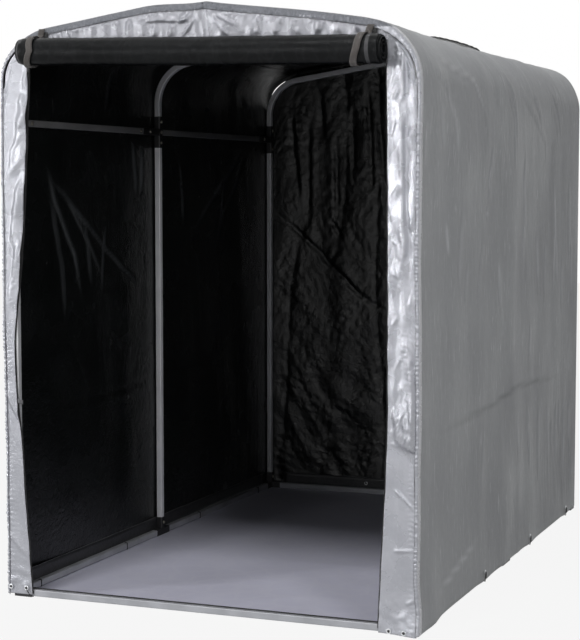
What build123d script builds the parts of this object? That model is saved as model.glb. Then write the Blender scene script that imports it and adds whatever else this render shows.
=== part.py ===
from build123d import *
import math
import os

# Bike shelter: a woven sheet cover over a frame of three tube hoops.
# The origin is the centre of the footprint on the ground, +Z is up, +Y points to the back,
# and the doorway faces -Y. Lengths are in millimetres.

# Frame tubes
TUBE = 25.0
TUBE_CORNER = 4.0
TUBE_WALL = 1.5

# Frame layout, measured between tube centre lines
FRAME_WIDTH = 1528.0
FRONT_BAY = 1187.0
REAR_BAY = 1256.0
SIDE_BAR_HEIGHT = 1741.0

# Roof shape, on the outer face of the cover
EAVE_RISE = 120.0
EAVE_RADIUS = 190.0
ROOF_PITCH = 8.8

# Moulded joints that the tubes push into
SLEEVE_WALL = 2.4
SLEEVE_CORNER = 6.0
FOOT_HEIGHT = 78.0
FOOT_ARM = 58.0
BAR_JOINT_HEIGHT = 133.0
BAR_JOINT_FRONT_ARM = 165.0
BAR_JOINT_REAR_ARM = 125.0
RIDGE_SLEEVE_LENGTH = 90.0

# Cover and floor
COVER_SHEET = 3.0
COVER_HEM = 12.0
FLOOR_SHEET = 3.0
LEFT_FLAP = 85.0
RIGHT_FLAP = 110.0
HEADER_HEIGHT = 153.0
DOOR_CORNER = 45.0
ZIP_TAPE = 12.0
ZIP_THICKNESS = 1.6

# Door curtain rolled up under the gable, and the straps that hold it
ROLL_RADIUS = 51.0
ROLL_CORE = 14.0
ROLL_PITCH = 3.9
ROLL_LIFT = 2.0
ROLL_LEFT_OVERHANG = 8.5
ROLL_RIGHT_OVERHANG = 21.5
STRAP_WIDTH = 26.0
STRAP_THICKNESS = 2.0
STRAP_TAIL = 46.0
STRAP_INSET = 66.0

# Roof vent hoods, one on each slope
VENT_SPAN = 740.0
VENT_RISE = 27.0
VENT_REACH = 230.0
VENT_SHEET = 2.0
VENT_INSET = 22.5

# Strip along the sill
STRIP_WIDTH = 6.0
STRIP_HEIGHT = 4.0

# Clearance between pieces that seat on each other
FIT = 0.3

# Sizes that follow from those above
SLEEVE_BORE = TUBE + 2 * FIT
SLEEVE = SLEEVE_BORE + 2 * SLEEVE_WALL
COVER_INSET = SLEEVE / 2 + FIT + COVER_SHEET
COVER_WIDTH = FRAME_WIDTH + 2 * COVER_INSET
COVER_DEPTH = FRONT_BAY + REAR_BAY + 2 * COVER_INSET
HALF_WIDTH = COVER_WIDTH / 2
HALF_FRAME = FRAME_WIDTH / 2
PITCH = math.radians(ROOF_PITCH)

FRONT_FACE = -COVER_DEPTH / 2
REAR_FACE = COVER_DEPTH / 2
FRONT_HOOP = FRONT_FACE + COVER_INSET
MIDDLE_HOOP = FRONT_HOOP + FRONT_BAY
REAR_HOOP = MIDDLE_HOOP + REAR_BAY

RAIL_BOTTOM = FLOOR_SHEET + FIT
RAIL_CENTRE = RAIL_BOTTOM + TUBE / 2
RAIL_TOP = RAIL_BOTTOM + TUBE
FOOT_SHELF = RAIL_TOP + FIT + SLEEVE_WALL

EAVE_START = SIDE_BAR_HEIGHT + EAVE_RISE
EAVE_CENTRE_X = HALF_WIDTH - EAVE_RADIUS
ROOF_START_X = EAVE_CENTRE_X + EAVE_RADIUS * math.sin(PITCH)
ROOF_START_Z = EAVE_START + EAVE_RADIUS * math.cos(PITCH)
RIDGE = ROOF_START_Z + ROOF_START_X * math.tan(PITCH)
BOW_RADIUS = EAVE_RADIUS - COVER_INSET
BOW_RIDGE = RIDGE - COVER_INSET / math.cos(PITCH)
BOW_CORNER = BOW_RIDGE - HALF_FRAME * math.tan(PITCH)
RIDGE_BAR_HEIGHT = BOW_RIDGE - SLEEVE / 2 * math.tan(PITCH)

DOOR_TOP = RIDGE - HEADER_HEIGHT
DOOR_LEFT = -HALF_WIDTH + LEFT_FLAP
DOOR_RIGHT = HALF_WIDTH - RIGHT_FLAP
ROLL_LEFT_END = DOOR_LEFT - ROLL_LEFT_OVERHANG
ROLL_RIGHT_END = DOOR_RIGHT + ROLL_RIGHT_OVERHANG
STRAP_BORE_RADIUS = ROLL_RADIUS + ROLL_PITCH / 4 + FIT
ROLL_CENTRE_Y = FRONT_FACE - FIT - STRAP_THICKNESS - STRAP_BORE_RADIUS
ROLL_CENTRE_Z = DOOR_TOP + ROLL_LIFT
VENT_EDGE = EAVE_CENTRE_X - VENT_INSET

SIDES = {"left": -1, "right": 1}
HOOPS = {"front": FRONT_HOOP, "middle": MIDDLE_HOOP, "rear": REAR_HOOP}


def tube_section():
    """Hollow square tube with rounded corners."""
    outer = RectangleRounded(TUBE, TUBE, TUBE_CORNER)
    bore = TUBE - 2 * TUBE_WALL
    return outer - RectangleRounded(bore, bore, TUBE_CORNER - TUBE_WALL)


def straight_tube(start, end):
    """Tube between two points on its centre line."""
    run = Vector(*end) - Vector(*start)
    plane = Plane(origin=start, z_dir=run)
    return extrude(plane * tube_section(), amount=run.length)


def sleeve_block(start, end, width=SLEEVE):
    """Outer body of a moulded sleeve between two points."""
    run = Vector(*end) - Vector(*start)
    plane = Plane(origin=start, z_dir=run)
    return extrude(plane * RectangleRounded(width, width, SLEEVE_CORNER), amount=run.length)


def sleeve_bore(start, end):
    """Space in a sleeve that a tube slides into."""
    run = Vector(*end) - Vector(*start)
    plane = Plane(origin=start, z_dir=run)
    return extrude(plane * RectangleRounded(SLEEVE_BORE, SLEEVE_BORE, TUBE_CORNER), amount=run.length)


def box_between(low, high):
    """Box given by its lowest and highest corners."""
    size = Vector(*high) - Vector(*low)
    centre = (Vector(*high) + Vector(*low)) * 0.5
    return Pos(centre) * Box(size.X, size.Y, size.Z)


def prism(face, front, rear):
    """Solid between two depths, from an outline drawn in width and height."""
    plane = Plane(origin=(0, rear, 0), x_dir=(1, 0, 0), z_dir=(0, -1, 0))
    return extrude(plane * face, amount=rear - front)


# Cover outline

def eave_point(angle, inset):
    """Point on the rounded eave, with the angle measured up from the side wall."""
    radius = EAVE_RADIUS - inset
    return (EAVE_CENTRE_X + radius * math.cos(angle), EAVE_START + radius * math.sin(angle))


def slope_strip():
    """Cross-section of the right eave and roof slope, one sheet thick."""
    top = math.pi / 2 - PITCH
    ridge_outer = (0, RIDGE)
    ridge_inner = (0, RIDGE - COVER_SHEET / math.cos(PITCH))
    outer_arc = ThreePointArc(eave_point(0, 0), eave_point(top / 2, 0), eave_point(top, 0))
    inner_arc = ThreePointArc(
        eave_point(top, COVER_SHEET), eave_point(top / 2, COVER_SHEET), eave_point(0, COVER_SHEET))
    edges = [
        outer_arc,
        Line(eave_point(top, 0), ridge_outer),
        Line(ridge_outer, ridge_inner),
        Line(ridge_inner, eave_point(top, COVER_SHEET)),
        inner_arc,
        Line(eave_point(0, COVER_SHEET), eave_point(0, 0)),
    ]
    return make_face(edges)


def gable_outline(bottom):
    """Outline of the whole end of the cover above a given height."""
    top = math.pi / 2 - PITCH
    arc = ThreePointArc(eave_point(0, 0), eave_point(top / 2, 0), eave_point(top, 0))
    edges = [
        Line((0, bottom), (HALF_WIDTH, bottom)),
        Line((HALF_WIDTH, bottom), eave_point(0, 0)),
        arc,
        Line(eave_point(top, 0), (0, RIDGE)),
        Line((0, RIDGE), (0, bottom)),
    ]
    half = make_face(edges)
    return half + mirror(half, about=Plane.YZ)


# Base frame

def corner_foot(side, hoop, toward):
    """Corner joint: two rail sleeves and a post sleeve on one solid block."""
    x = side * HALF_FRAME
    rail_z = RAIL_CENTRE
    half = SLEEVE / 2
    post = box_between((x - half, hoop - half, 0), (x + half, hoop + half, FOOT_HEIGHT))
    post = fillet(post.edges().filter_by(Axis.Z), SLEEVE_CORNER)
    along_x = box_between((min(x, x - side * FOOT_ARM), hoop - half, 0),
                          (max(x, x - side * FOOT_ARM), hoop + half, FOOT_SHELF))
    along_y = box_between((x - half, min(hoop, hoop + toward * FOOT_ARM), 0),
                          (x + half, max(hoop, hoop + toward * FOOT_ARM), FOOT_SHELF))
    foot = post + along_x + along_y
    foot -= sleeve_bore((x, hoop, FOOT_SHELF), (x, hoop, FOOT_HEIGHT + FIT))
    foot -= sleeve_bore((x - side * half, hoop, rail_z), (x - side * (FOOT_ARM + FIT), hoop, rail_z))
    foot -= sleeve_bore((x, hoop + toward * half, rail_z), (x, hoop + toward * (FOOT_ARM + FIT), rail_z))
    return foot


def middle_foot(side):
    """Joint half way along a side: a post sleeve over two rail sleeves in line."""
    x = side * HALF_FRAME
    half = SLEEVE / 2
    post = box_between((x - half, MIDDLE_HOOP - half, 0), (x + half, MIDDLE_HOOP + half, FOOT_HEIGHT))
    post = fillet(post.edges().filter_by(Axis.Z), SLEEVE_CORNER)
    base = box_between((x - half, MIDDLE_HOOP - FOOT_ARM, 0), (x + half, MIDDLE_HOOP + FOOT_ARM, FOOT_SHELF))
    foot = post + base
    foot -= sleeve_bore((x, MIDDLE_HOOP, FOOT_SHELF), (x, MIDDLE_HOOP, FOOT_HEIGHT + FIT))
    for toward in (-1, 1):
        start = (x, MIDDLE_HOOP + toward * half, RAIL_CENTRE)
        end = (x, MIDDLE_HOOP + toward * (FOOT_ARM + FIT), RAIL_CENTRE)
        foot -= sleeve_bore(start, end)
    return foot


def cross_rail(hoop):
    """Base rail across the shelter, held by two corner feet."""
    reach = HALF_FRAME - SLEEVE / 2 - FIT
    return straight_tube((-reach, hoop, RAIL_CENTRE), (reach, hoop, RAIL_CENTRE))


def side_rail(side, front, rear):
    """Base rail along one bay of a side."""
    x = side * HALF_FRAME
    inset = SLEEVE / 2 + FIT
    return straight_tube((x, front + inset, RAIL_CENTRE), (x, rear - inset, RAIL_CENTRE))


# Hoops

def post(side, hoop):
    """Lower part of a hoop leg, from its foot into the bar joint."""
    x = side * HALF_FRAME
    return straight_tube((x, hoop, FOOT_SHELF + FIT), (x, hoop, SIDE_BAR_HEIGHT - FIT))


def ridge_reach(distance):
    """Point on the bow centre line, a distance down the slope from the ridge."""
    return (distance * math.cos(PITCH), BOW_RIDGE - distance * math.sin(PITCH))


def bow(side, hoop):
    """Upper part of a hoop leg, bent round the eave up to the ridge joint."""
    x = side * HALF_FRAME
    end_x, end_z = ridge_reach(SLEEVE / 2 + FIT)
    path = FilletPolyline(
        (x, hoop, SIDE_BAR_HEIGHT + FIT),
        (x, hoop, BOW_CORNER),
        (side * end_x, hoop, end_z),
        radius=BOW_RADIUS)
    start = Plane(origin=(x, hoop, SIDE_BAR_HEIGHT + FIT), x_dir=(1, 0, 0), z_dir=(0, 0, 1))
    return sweep(start * tube_section(), path=path)


def bar_joint(side, hoop, arms):
    """Cross joint on a hoop leg: a post sleeve with sleeves for the side bars."""
    x = side * HALF_FRAME
    low = SIDE_BAR_HEIGHT - BAR_JOINT_HEIGHT / 2
    high = SIDE_BAR_HEIGHT + BAR_JOINT_HEIGHT / 2
    joint = sleeve_block((x, hoop, low), (x, hoop, high))
    for arm in arms:
        joint += sleeve_block((x, hoop, SIDE_BAR_HEIGHT), (x, hoop + arm, SIDE_BAR_HEIGHT))
    joint -= sleeve_bore((x, hoop, low - FIT), (x, hoop, high + FIT))
    for arm in arms:
        toward = math.copysign(1, arm)
        start = (x, hoop + toward * SLEEVE / 2, SIDE_BAR_HEIGHT)
        joint -= sleeve_bore(start, (x, hoop + arm + toward * FIT, SIDE_BAR_HEIGHT))
    return joint


def side_bar(side, front, rear):
    """Bar between two hoops at shoulder height."""
    x = side * HALF_FRAME
    inset = SLEEVE / 2 + FIT
    return straight_tube((x, front + inset, SIDE_BAR_HEIGHT), (x, rear - inset, SIDE_BAR_HEIGHT))


def ridge_joint(hoop, ridge_arms):
    """Joint at the top of a hoop: two sloping sleeves and sleeves for the ridge bars."""
    centre = (0, hoop, BOW_RIDGE)
    bar_line = (0, hoop, RIDGE_BAR_HEIGHT)
    joint = sleeve_block((0, hoop, RIDGE_BAR_HEIGHT - SLEEVE / 2), bar_line)
    for side in SIDES.values():
        end_x, end_z = ridge_reach(RIDGE_SLEEVE_LENGTH)
        joint += sleeve_block(centre, (side * end_x, hoop, end_z))
    for arm in ridge_arms:
        joint += sleeve_block(bar_line, (0, hoop + arm, RIDGE_BAR_HEIGHT))
    for side in SIDES.values():
        near_x, near_z = ridge_reach(SLEEVE / 2)
        far_x, far_z = ridge_reach(RIDGE_SLEEVE_LENGTH + FIT)
        joint -= sleeve_bore((side * near_x, hoop, near_z), (side * far_x, hoop, far_z))
    for arm in ridge_arms:
        toward = math.copysign(1, arm)
        start = (0, hoop + toward * SLEEVE / 2, RIDGE_BAR_HEIGHT)
        joint -= sleeve_bore(start, (0, hoop + arm + toward * FIT, RIDGE_BAR_HEIGHT))
    return joint


def ridge_bar(front, rear):
    """Bar along the ridge between two hoops."""
    inset = SLEEVE / 2 + FIT
    return straight_tube((0, front + inset, RIDGE_BAR_HEIGHT), (0, rear - inset, RIDGE_BAR_HEIGHT))


# Cover

def side_panel(side):
    """Side wall of the cover, from the hem to the start of the eave."""
    outer = side * HALF_WIDTH
    inner = side * (HALF_WIDTH - COVER_SHEET)
    low = (min(outer, inner), FRONT_FACE + COVER_SHEET, COVER_HEM)
    high = (max(outer, inner), REAR_FACE - COVER_SHEET, EAVE_START)
    return box_between(low, high)


def roof_panel(side):
    """Eave and roof slope on one side of the ridge."""
    panel = prism(slope_strip(), FRONT_FACE + COVER_SHEET, REAR_FACE - COVER_SHEET)
    if side < 0:
        panel = mirror(panel, about=Plane.YZ)
    return panel


def rear_panel():
    """Back wall of the cover."""
    return prism(gable_outline(COVER_HEM), REAR_FACE - COVER_SHEET, REAR_FACE)


def door_opening():
    """Outline of the doorway between the two flaps, rounded at its top corners."""
    width = DOOR_RIGHT - DOOR_LEFT
    opening = Pos((DOOR_LEFT + DOOR_RIGHT) / 2, DOOR_TOP / 2) * Rectangle(width, DOOR_TOP)
    corners = opening.vertices().filter_by(lambda v: v.Y > DOOR_TOP / 2)
    return fillet(corners, DOOR_CORNER)


def front_header():
    """Gable above the doorway."""
    above = Pos(0, DOOR_TOP + RIDGE / 2) * Rectangle(COVER_WIDTH, RIDGE)
    return prism(gable_outline(COVER_HEM) & above, FRONT_FACE, FRONT_FACE + COVER_SHEET)


def door_flap(side):
    """Strip of the front beside the doorway, from the hem up to the header."""
    front = gable_outline(COVER_HEM) - door_opening()
    front &= Pos(side * HALF_WIDTH, DOOR_TOP / 2) * Rectangle(COVER_WIDTH, DOOR_TOP)
    return prism(front, FRONT_FACE, FRONT_FACE + COVER_SHEET)


def zip_tapes():
    """Zip tape behind the free edge of each flap."""
    tapes = []
    back = FRONT_FACE + COVER_SHEET
    for edge in (DOOR_LEFT, DOOR_RIGHT):
        low = (edge - ZIP_TAPE / 2, back, COVER_HEM)
        high = (edge + ZIP_TAPE / 2, back + ZIP_THICKNESS, DOOR_TOP - DOOR_CORNER)
        tapes.append(box_between(low, high))
    return Compound(children=tapes)


def foot_gap(x, hoop, reach_x, reach_y):
    """Cut in the ground sheet round one arm of a foot, reaching from the post's centre."""
    clear = SLEEVE / 2 + FIT
    xs = (x - clear, x + clear) if reach_x == 0 else (x, x + reach_x)
    ys = (hoop - clear, hoop + clear) if reach_y == 0 else (hoop, hoop + reach_y)
    return box_between((min(xs), min(ys), -FLOOR_SHEET), (max(xs), max(ys), 2 * FLOOR_SHEET))


def floor_sheet():
    """Ground sheet that lies inside the base frame and reaches under its rails."""
    sheet = box_between((-HALF_FRAME, FRONT_HOOP, 0), (HALF_FRAME, REAR_HOOP, FLOOR_SHEET))
    arm = FOOT_ARM + FIT
    for side in SIDES.values():
        x = side * HALF_FRAME
        for hoop, toward in ((FRONT_HOOP, 1), (REAR_HOOP, -1)):
            sheet -= foot_gap(x, hoop, -side * arm, 0)
            sheet -= foot_gap(x, hoop, 0, toward * arm)
        sheet -= foot_gap(x, MIDDLE_HOOP, 0, arm)
        sheet -= foot_gap(x, MIDDLE_HOOP, 0, -arm)
    return sheet


def sill_edge_strip():
    """Dark strip along the top inner edge of the front sill."""
    reach = HALF_FRAME - FOOT_ARM - FIT
    back = FRONT_HOOP + TUBE / 2 - TUBE_CORNER
    low = (-reach, back - STRIP_WIDTH, RAIL_TOP)
    high = (reach, back, RAIL_TOP + STRIP_HEIGHT)
    strip = box_between(low, high)
    return fillet(strip.edges().filter_by(Axis.X).group_by(Axis.Z)[-1], STRIP_HEIGHT / 3)


def half_turn(height, radius, side):
    """Half circle of the rolled sheet about a centre at a given height, bulging to one side."""
    start = (0, height - side * radius)
    middle = (side * radius, height)
    end = (0, height + side * radius)
    return ThreePointArc(start, middle, end)


def wound_face():
    """End view of the rolled sheet: half circles about two centres, each larger by half a pitch."""
    half_pitch = ROLL_PITCH / 2
    half_turns = int((ROLL_RADIUS - ROLL_CORE) // half_pitch)
    outer = []
    inner = []
    for turn in range(half_turns + 1):
        side = -1 if (half_turns - turn) % 2 == 0 else 1
        radius = ROLL_RADIUS - half_pitch * (half_turns - turn)
        height = side * half_pitch / 2
        outer.append(half_turn(height, radius, side))
        inner.append(half_turn(height, radius - COVER_SHEET, side))
    free_edge = Line(outer[-1] @ 1, inner[-1] @ 1)
    core_edge = Line(inner[0] @ 0, outer[0] @ 0)
    return make_face(outer + inner + [free_edge, core_edge])


def rolled_door():
    """Door curtain rolled up into one long bundle, wound from one sheet."""
    length = ROLL_RIGHT_END - ROLL_LEFT_END
    plane = Plane(origin=(ROLL_LEFT_END, ROLL_CENTRE_Y, ROLL_CENTRE_Z), x_dir=(0, 1, 0), z_dir=(1, 0, 0))
    return extrude(plane * wound_face(), amount=length)


def door_strap(x):
    """Strap looped round the rolled curtain, with its sewn end up on the header."""
    outer = STRAP_BORE_RADIUS + STRAP_THICKNESS
    ring = Cylinder(outer, STRAP_WIDTH) - Cylinder(STRAP_BORE_RADIUS, STRAP_WIDTH)
    ring = Pos(x, ROLL_CENTRE_Y, ROLL_CENTRE_Z) * Rot(0, 90, 0) * ring
    low = (x - STRAP_WIDTH / 2, FRONT_FACE - FIT - STRAP_THICKNESS, ROLL_CENTRE_Z)
    high = (x + STRAP_WIDTH / 2, FRONT_FACE - FIT, ROLL_CENTRE_Z + STRAP_TAIL)
    return ring + box_between(low, high)


def roof_vent(side):
    """Low arched hood on a roof slope, open towards the eave."""
    radius = (VENT_SPAN ** 2 / 4 + VENT_RISE ** 2) / (2 * VENT_RISE)
    tilt = math.degrees(math.atan(VENT_RISE / VENT_REACH))
    shell = Cylinder(radius, 2 * VENT_REACH) - Cylinder(radius - VENT_SHEET, 2 * VENT_REACH)
    shell = Rot(0, 90, 0) * shell
    shell = Pos(0, 0, VENT_RISE - radius) * shell
    shell = Rot(0, -tilt, 0) * shell
    keep = box_between((-2 * VENT_REACH, -VENT_SPAN / 2, 0), (0, VENT_SPAN / 2, 2 * VENT_RISE))
    hood = shell & keep
    middle = (FRONT_FACE + REAR_FACE) / 2
    surface = RIDGE - VENT_EDGE * math.tan(PITCH) + FIT / math.cos(PITCH)
    hood = Pos(VENT_EDGE, middle, surface) * Rot(0, ROOF_PITCH, 0) * hood
    if side < 0:
        hood = mirror(hood, about=Plane.YZ)
    return hood


# All nodes by name

def build():
    """Every node of the shelter, by name."""
    nodes = {
        "front_sill": cross_rail(FRONT_HOOP),
        "rear_base_rail": cross_rail(REAR_HOOP),
        "front_corner_feet": Compound(children=[corner_foot(s, FRONT_HOOP, 1) for s in SIDES.values()]),
        "middle_feet": Compound(children=[middle_foot(s) for s in SIDES.values()]),
        "rear_corner_feet": Compound(children=[corner_foot(s, REAR_HOOP, -1) for s in SIDES.values()]),
        "ridge_bar_front": ridge_bar(FRONT_HOOP, MIDDLE_HOOP),
        "ridge_bar_rear": ridge_bar(MIDDLE_HOOP, REAR_HOOP),
        "rear_panel": rear_panel(),
        "front_header": front_header(),
        "zip_tapes": zip_tapes(),
        "floor_sheet": floor_sheet(),
        "sill_edge_strip": sill_edge_strip(),
        "rolled_door": rolled_door(),
        "door_straps": Compound(children=[
            door_strap(ROLL_LEFT_END + STRAP_INSET),
            door_strap(ROLL_RIGHT_END - STRAP_INSET),
        ]),
        "roof_vents": Compound(children=[roof_vent(s) for s in SIDES.values()]),
    }
    arms = {
        "front": [BAR_JOINT_REAR_ARM],
        "middle": [-BAR_JOINT_FRONT_ARM, BAR_JOINT_REAR_ARM],
        "rear": [-BAR_JOINT_FRONT_ARM],
    }
    ridge_arms = {
        "front": [RIDGE_SLEEVE_LENGTH],
        "middle": [-RIDGE_SLEEVE_LENGTH, RIDGE_SLEEVE_LENGTH],
        "rear": [-RIDGE_SLEEVE_LENGTH],
    }
    ridge_joints = []
    for place, hoop in HOOPS.items():
        joints = [bar_joint(s, hoop, arms[place]) for s in SIDES.values()]
        nodes[f"{place}_bar_joints"] = Compound(children=joints)
        ridge_joints.append(ridge_joint(hoop, ridge_arms[place]))
    nodes["ridge_joints"] = Compound(children=ridge_joints)
    bays = {"front": (FRONT_HOOP, MIDDLE_HOOP), "rear": (MIDDLE_HOOP, REAR_HOOP)}
    for hand, side in SIDES.items():
        nodes[f"{hand}_side_panel"] = side_panel(side)
        nodes[f"{hand}_roof_panel"] = roof_panel(side)
        nodes[f"{hand}_door_flap"] = door_flap(side)
        for place, hoop in HOOPS.items():
            nodes[f"{hand}_{place}_post"] = post(side, hoop)
            nodes[f"{hand}_{place}_bow"] = bow(side, hoop)
        for bay, (front, rear) in bays.items():
            nodes[f"{hand}_{bay}_base_rail"] = side_rail(side, front, rear)
            nodes[f"{hand}_{bay}_side_bar"] = side_bar(side, front, rear)
    return nodes


os.makedirs("parts", exist_ok=True)
for name, shape in build().items():
    export_step(shape, f"parts/{name}.step")
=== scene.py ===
import bpy
import math
import numpy as np
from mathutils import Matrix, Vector


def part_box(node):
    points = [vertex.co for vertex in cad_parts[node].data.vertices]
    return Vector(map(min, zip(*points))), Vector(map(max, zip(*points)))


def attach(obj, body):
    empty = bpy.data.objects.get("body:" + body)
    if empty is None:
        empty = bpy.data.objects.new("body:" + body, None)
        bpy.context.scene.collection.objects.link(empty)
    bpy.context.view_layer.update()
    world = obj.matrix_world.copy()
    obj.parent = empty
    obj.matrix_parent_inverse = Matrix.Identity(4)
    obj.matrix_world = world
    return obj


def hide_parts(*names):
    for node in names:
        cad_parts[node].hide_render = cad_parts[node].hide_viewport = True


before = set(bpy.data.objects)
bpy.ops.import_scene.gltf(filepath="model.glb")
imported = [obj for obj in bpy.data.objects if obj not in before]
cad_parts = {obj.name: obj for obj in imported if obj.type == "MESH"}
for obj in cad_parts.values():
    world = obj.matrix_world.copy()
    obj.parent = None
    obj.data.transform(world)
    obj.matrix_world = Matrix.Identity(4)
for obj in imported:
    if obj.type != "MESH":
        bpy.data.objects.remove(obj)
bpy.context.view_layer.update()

# The shelter's own sizes, in metres, read from the frame
HALF_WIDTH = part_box("right_side_panel")[1].x
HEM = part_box("right_side_panel")[0].z
EAVE_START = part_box("right_side_panel")[1].z
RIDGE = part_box("right_roof_panel")[1].z
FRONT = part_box("front_header")[0].y
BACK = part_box("rear_panel")[1].y
DOOR_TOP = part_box("front_header")[0].z
HOOPS = [(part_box(f"left_{place}_post")[0].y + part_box(f"left_{place}_post")[1].y) / 2
         for place in ("front", "middle", "rear")]
POST_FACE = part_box("right_middle_post")[0].x
FRAME_SIDE = (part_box("right_middle_post")[0].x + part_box("right_middle_post")[1].x) / 2
BAR_HEIGHT = (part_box("left_front_side_bar")[0].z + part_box("left_front_side_bar")[1].z) / 2
SLEEVE_FACE = FRAME_SIDE - (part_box("middle_bar_joints")[1].x - FRAME_SIDE)
RAIL_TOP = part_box("left_front_base_rail")[1].z
RAIL_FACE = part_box("right_front_base_rail")[0].x
ROLL_LOW, ROLL_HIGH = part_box("rolled_door")
STRAP_LOW, STRAP_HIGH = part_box("door_straps")
FLOOR_LOW, FLOOR_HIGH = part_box("floor_sheet")
VENT_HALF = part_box("roof_vents")[1].y
EAVE_RADIUS = 0.190
PITCH = math.radians(8.8)

# Sizes of the sewn cover
SHEET = 0.001
SHEET_IN = 0.0015
SIDE_CORNER = 0.008
ROOF_CORNER = 0.024
SIDE_INSET = 0.010
ROOF_INSET = 0.027
LAP = 0.008
FINE_CELL = 0.0042
SLOPE = (HALF_WIDTH - EAVE_RADIUS + EAVE_RADIUS * math.sin(PITCH)) / math.cos(PITCH)
EAVE_LENGTH = EAVE_RADIUS * (math.pi / 2 - PITCH)
REACH = SLOPE + EAVE_LENGTH + EAVE_START - HEM
BAR_DOWN = SLOPE + EAVE_LENGTH + EAVE_START - BAR_HEIGHT
LEFT_RISE = 0.029
RIGHT_RISE = 0.017
RIDGE_RISE = 0.0012
SEAM_STAND = 0.0012
SAG_HIGH = 0.003
SAG_LOW = 0.006
HEM_SCALLOP = 0.0045
HEM_DROP = 0.0085
KICK = 0.026
SIDE_LOOPS = (-1.087, -0.378, 0.348, 1.037)
BACK_LOOPS = (-0.62, -0.258, 0.258, 0.62)

# Fineness of small shapes
BAND_CELLS = 4
WIRE_STEPS = 3
FACET_SETS = 6


# Working with Blender's objects

def start_clean():
    """Leaves edit mode and deselects everything."""
    if bpy.context.object and bpy.context.object.mode != "OBJECT":
        bpy.ops.object.mode_set(mode="OBJECT")
    bpy.ops.object.select_all(action="DESELECT")


def pick(piece):
    """Selects one object alone and makes it active."""
    start_clean()
    piece.select_set(True)
    bpy.context.view_layer.objects.active = piece


def apply_modifier(piece, kind, **settings):
    """Adds a modifier with its settings and applies it."""
    pick(piece)
    modifier = piece.modifiers.new(kind.lower(), kind)
    for key, value in settings.items():
        setattr(modifier, key, value)
    bpy.ops.object.modifier_apply(modifier=modifier.name)


def fix_piece(piece, name, replaced=()):
    """Names a finished piece and fixes it to the shelter."""
    pick(piece)
    bpy.ops.object.transform_apply(location=True, rotation=True, scale=True)
    piece.name = name
    piece.data.name = name
    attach(piece, "root")
    if replaced:
        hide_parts(*replaced)


def join_pieces(pieces):
    """Joins several objects into the first one."""
    pick(pieces[0])
    for piece in pieces[1:]:
        piece.select_set(True)
    bpy.ops.object.join()
    return pieces[0]


def copy_to(piece, places):
    """Copies of a small piece, each at its own place and turn, joined into one."""
    copies = []
    for place, turn in places:
        made = piece.copy()
        made.data = piece.data.copy()
        bpy.context.scene.collection.objects.link(made)
        made.location = place
        made.rotation_euler = turn
        copies.append(made)
    bpy.data.objects.remove(piece)
    joined = join_pieces(copies)
    bpy.ops.object.transform_apply(location=True, rotation=True, scale=True)
    return joined


def paint(piece, material):
    """Gives a piece one material alone."""
    piece.data.materials.clear()
    piece.data.materials.append(material)


def disc(radius, depth, place, turn):
    """Flat round piece at a place."""
    start_clean()
    bpy.ops.mesh.primitive_cylinder_add(vertices=28, radius=radius, depth=depth, location=place,
                                        rotation=turn)
    return bpy.context.object


def ring(major, minor, segments, place, stretch):
    """Ring that faces -Y at a place, stretched by three shares."""
    start_clean()
    around, across = segments
    bpy.ops.mesh.primitive_torus_add(major_radius=major, minor_radius=minor, major_segments=around,
                                     minor_segments=across, location=place, rotation=(math.pi / 2, 0, 0))
    made = bpy.context.object
    made.scale = stretch
    return made


def block(size):
    """Block of three sizes at the origin."""
    start_clean()
    bpy.ops.mesh.primitive_cube_add(size=1)
    made = bpy.context.object
    made.scale = size
    bpy.ops.object.transform_apply(location=False, rotation=False, scale=True)
    return made


def round_edges(piece, offset, segments):
    """Bevels every edge of a piece."""
    pick(piece)
    bpy.ops.object.mode_set(mode="EDIT")
    bpy.ops.mesh.select_all(action="SELECT")
    bpy.ops.mesh.bevel(offset=offset, segments=segments)
    bpy.ops.object.mode_set(mode="OBJECT")


def points_at(x, y, z):
    """Points from three arrays or plain values of one shape."""
    return np.stack(np.broadcast_arrays(x, y, z), axis=-1)


def sheet_mesh(name, points, flat, materials, marks=None):
    """Mesh of a cloth sheet from rows of points, with its flat place as UV map and marks of painted light on
    its folds.
    """
    rows, columns = points.shape[:2]
    index = np.arange(rows * columns).reshape(rows, columns)
    quads = np.stack([index[:-1, :-1], index[:-1, 1:], index[1:, 1:], index[1:, :-1]], axis=-1)
    quads = quads.reshape(-1, 4)
    mesh = bpy.data.meshes.new(name)
    mesh.from_pydata(points.reshape(-1, 3).tolist(), [], quads.tolist())
    mesh.uv_layers.new(name="cloth").data.foreach_set("uv", flat.reshape(-1, 2)[quads.ravel()].ravel())
    if marks is not None:
        mesh.attributes.new("tone_and_painted_light", "FLOAT", "POINT").data.foreach_set("value", marks.ravel())
    mesh.polygons.foreach_set("use_smooth", [True] * len(mesh.polygons))
    for material in materials:
        mesh.materials.append(material)
    piece = bpy.data.objects.new(name, mesh)
    bpy.context.scene.collection.objects.link(piece)
    return piece


def thicken(piece, thickness=SHEET):
    """Gives a sheet its thickness, with its inner face in the second material."""
    apply_modifier(piece, "SOLIDIFY", thickness=thickness, offset=-1, material_offset=1,
                   use_even_offset=False)


def band(name, path, across, width, materials, thickness):
    """Flat ribbon along a path of points; across gives the direction of its width at each point."""
    path = np.asarray(path, float)
    across = np.broadcast_to(np.asarray(across, float), path.shape)
    places = np.linspace(-0.5, 0.5, BAND_CELLS + 1) * width
    points = path[:, None, :] + across[:, None, :] * places[None, :, None]
    travel = np.concatenate([[0], np.cumsum(np.linalg.norm(np.diff(path, axis=0), axis=1))])
    flat = np.stack(np.broadcast_arrays(places[None, :], travel[:, None]), axis=-1)
    piece = sheet_mesh(name, points, flat, materials)
    thicken(piece, thickness)
    return piece


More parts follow.
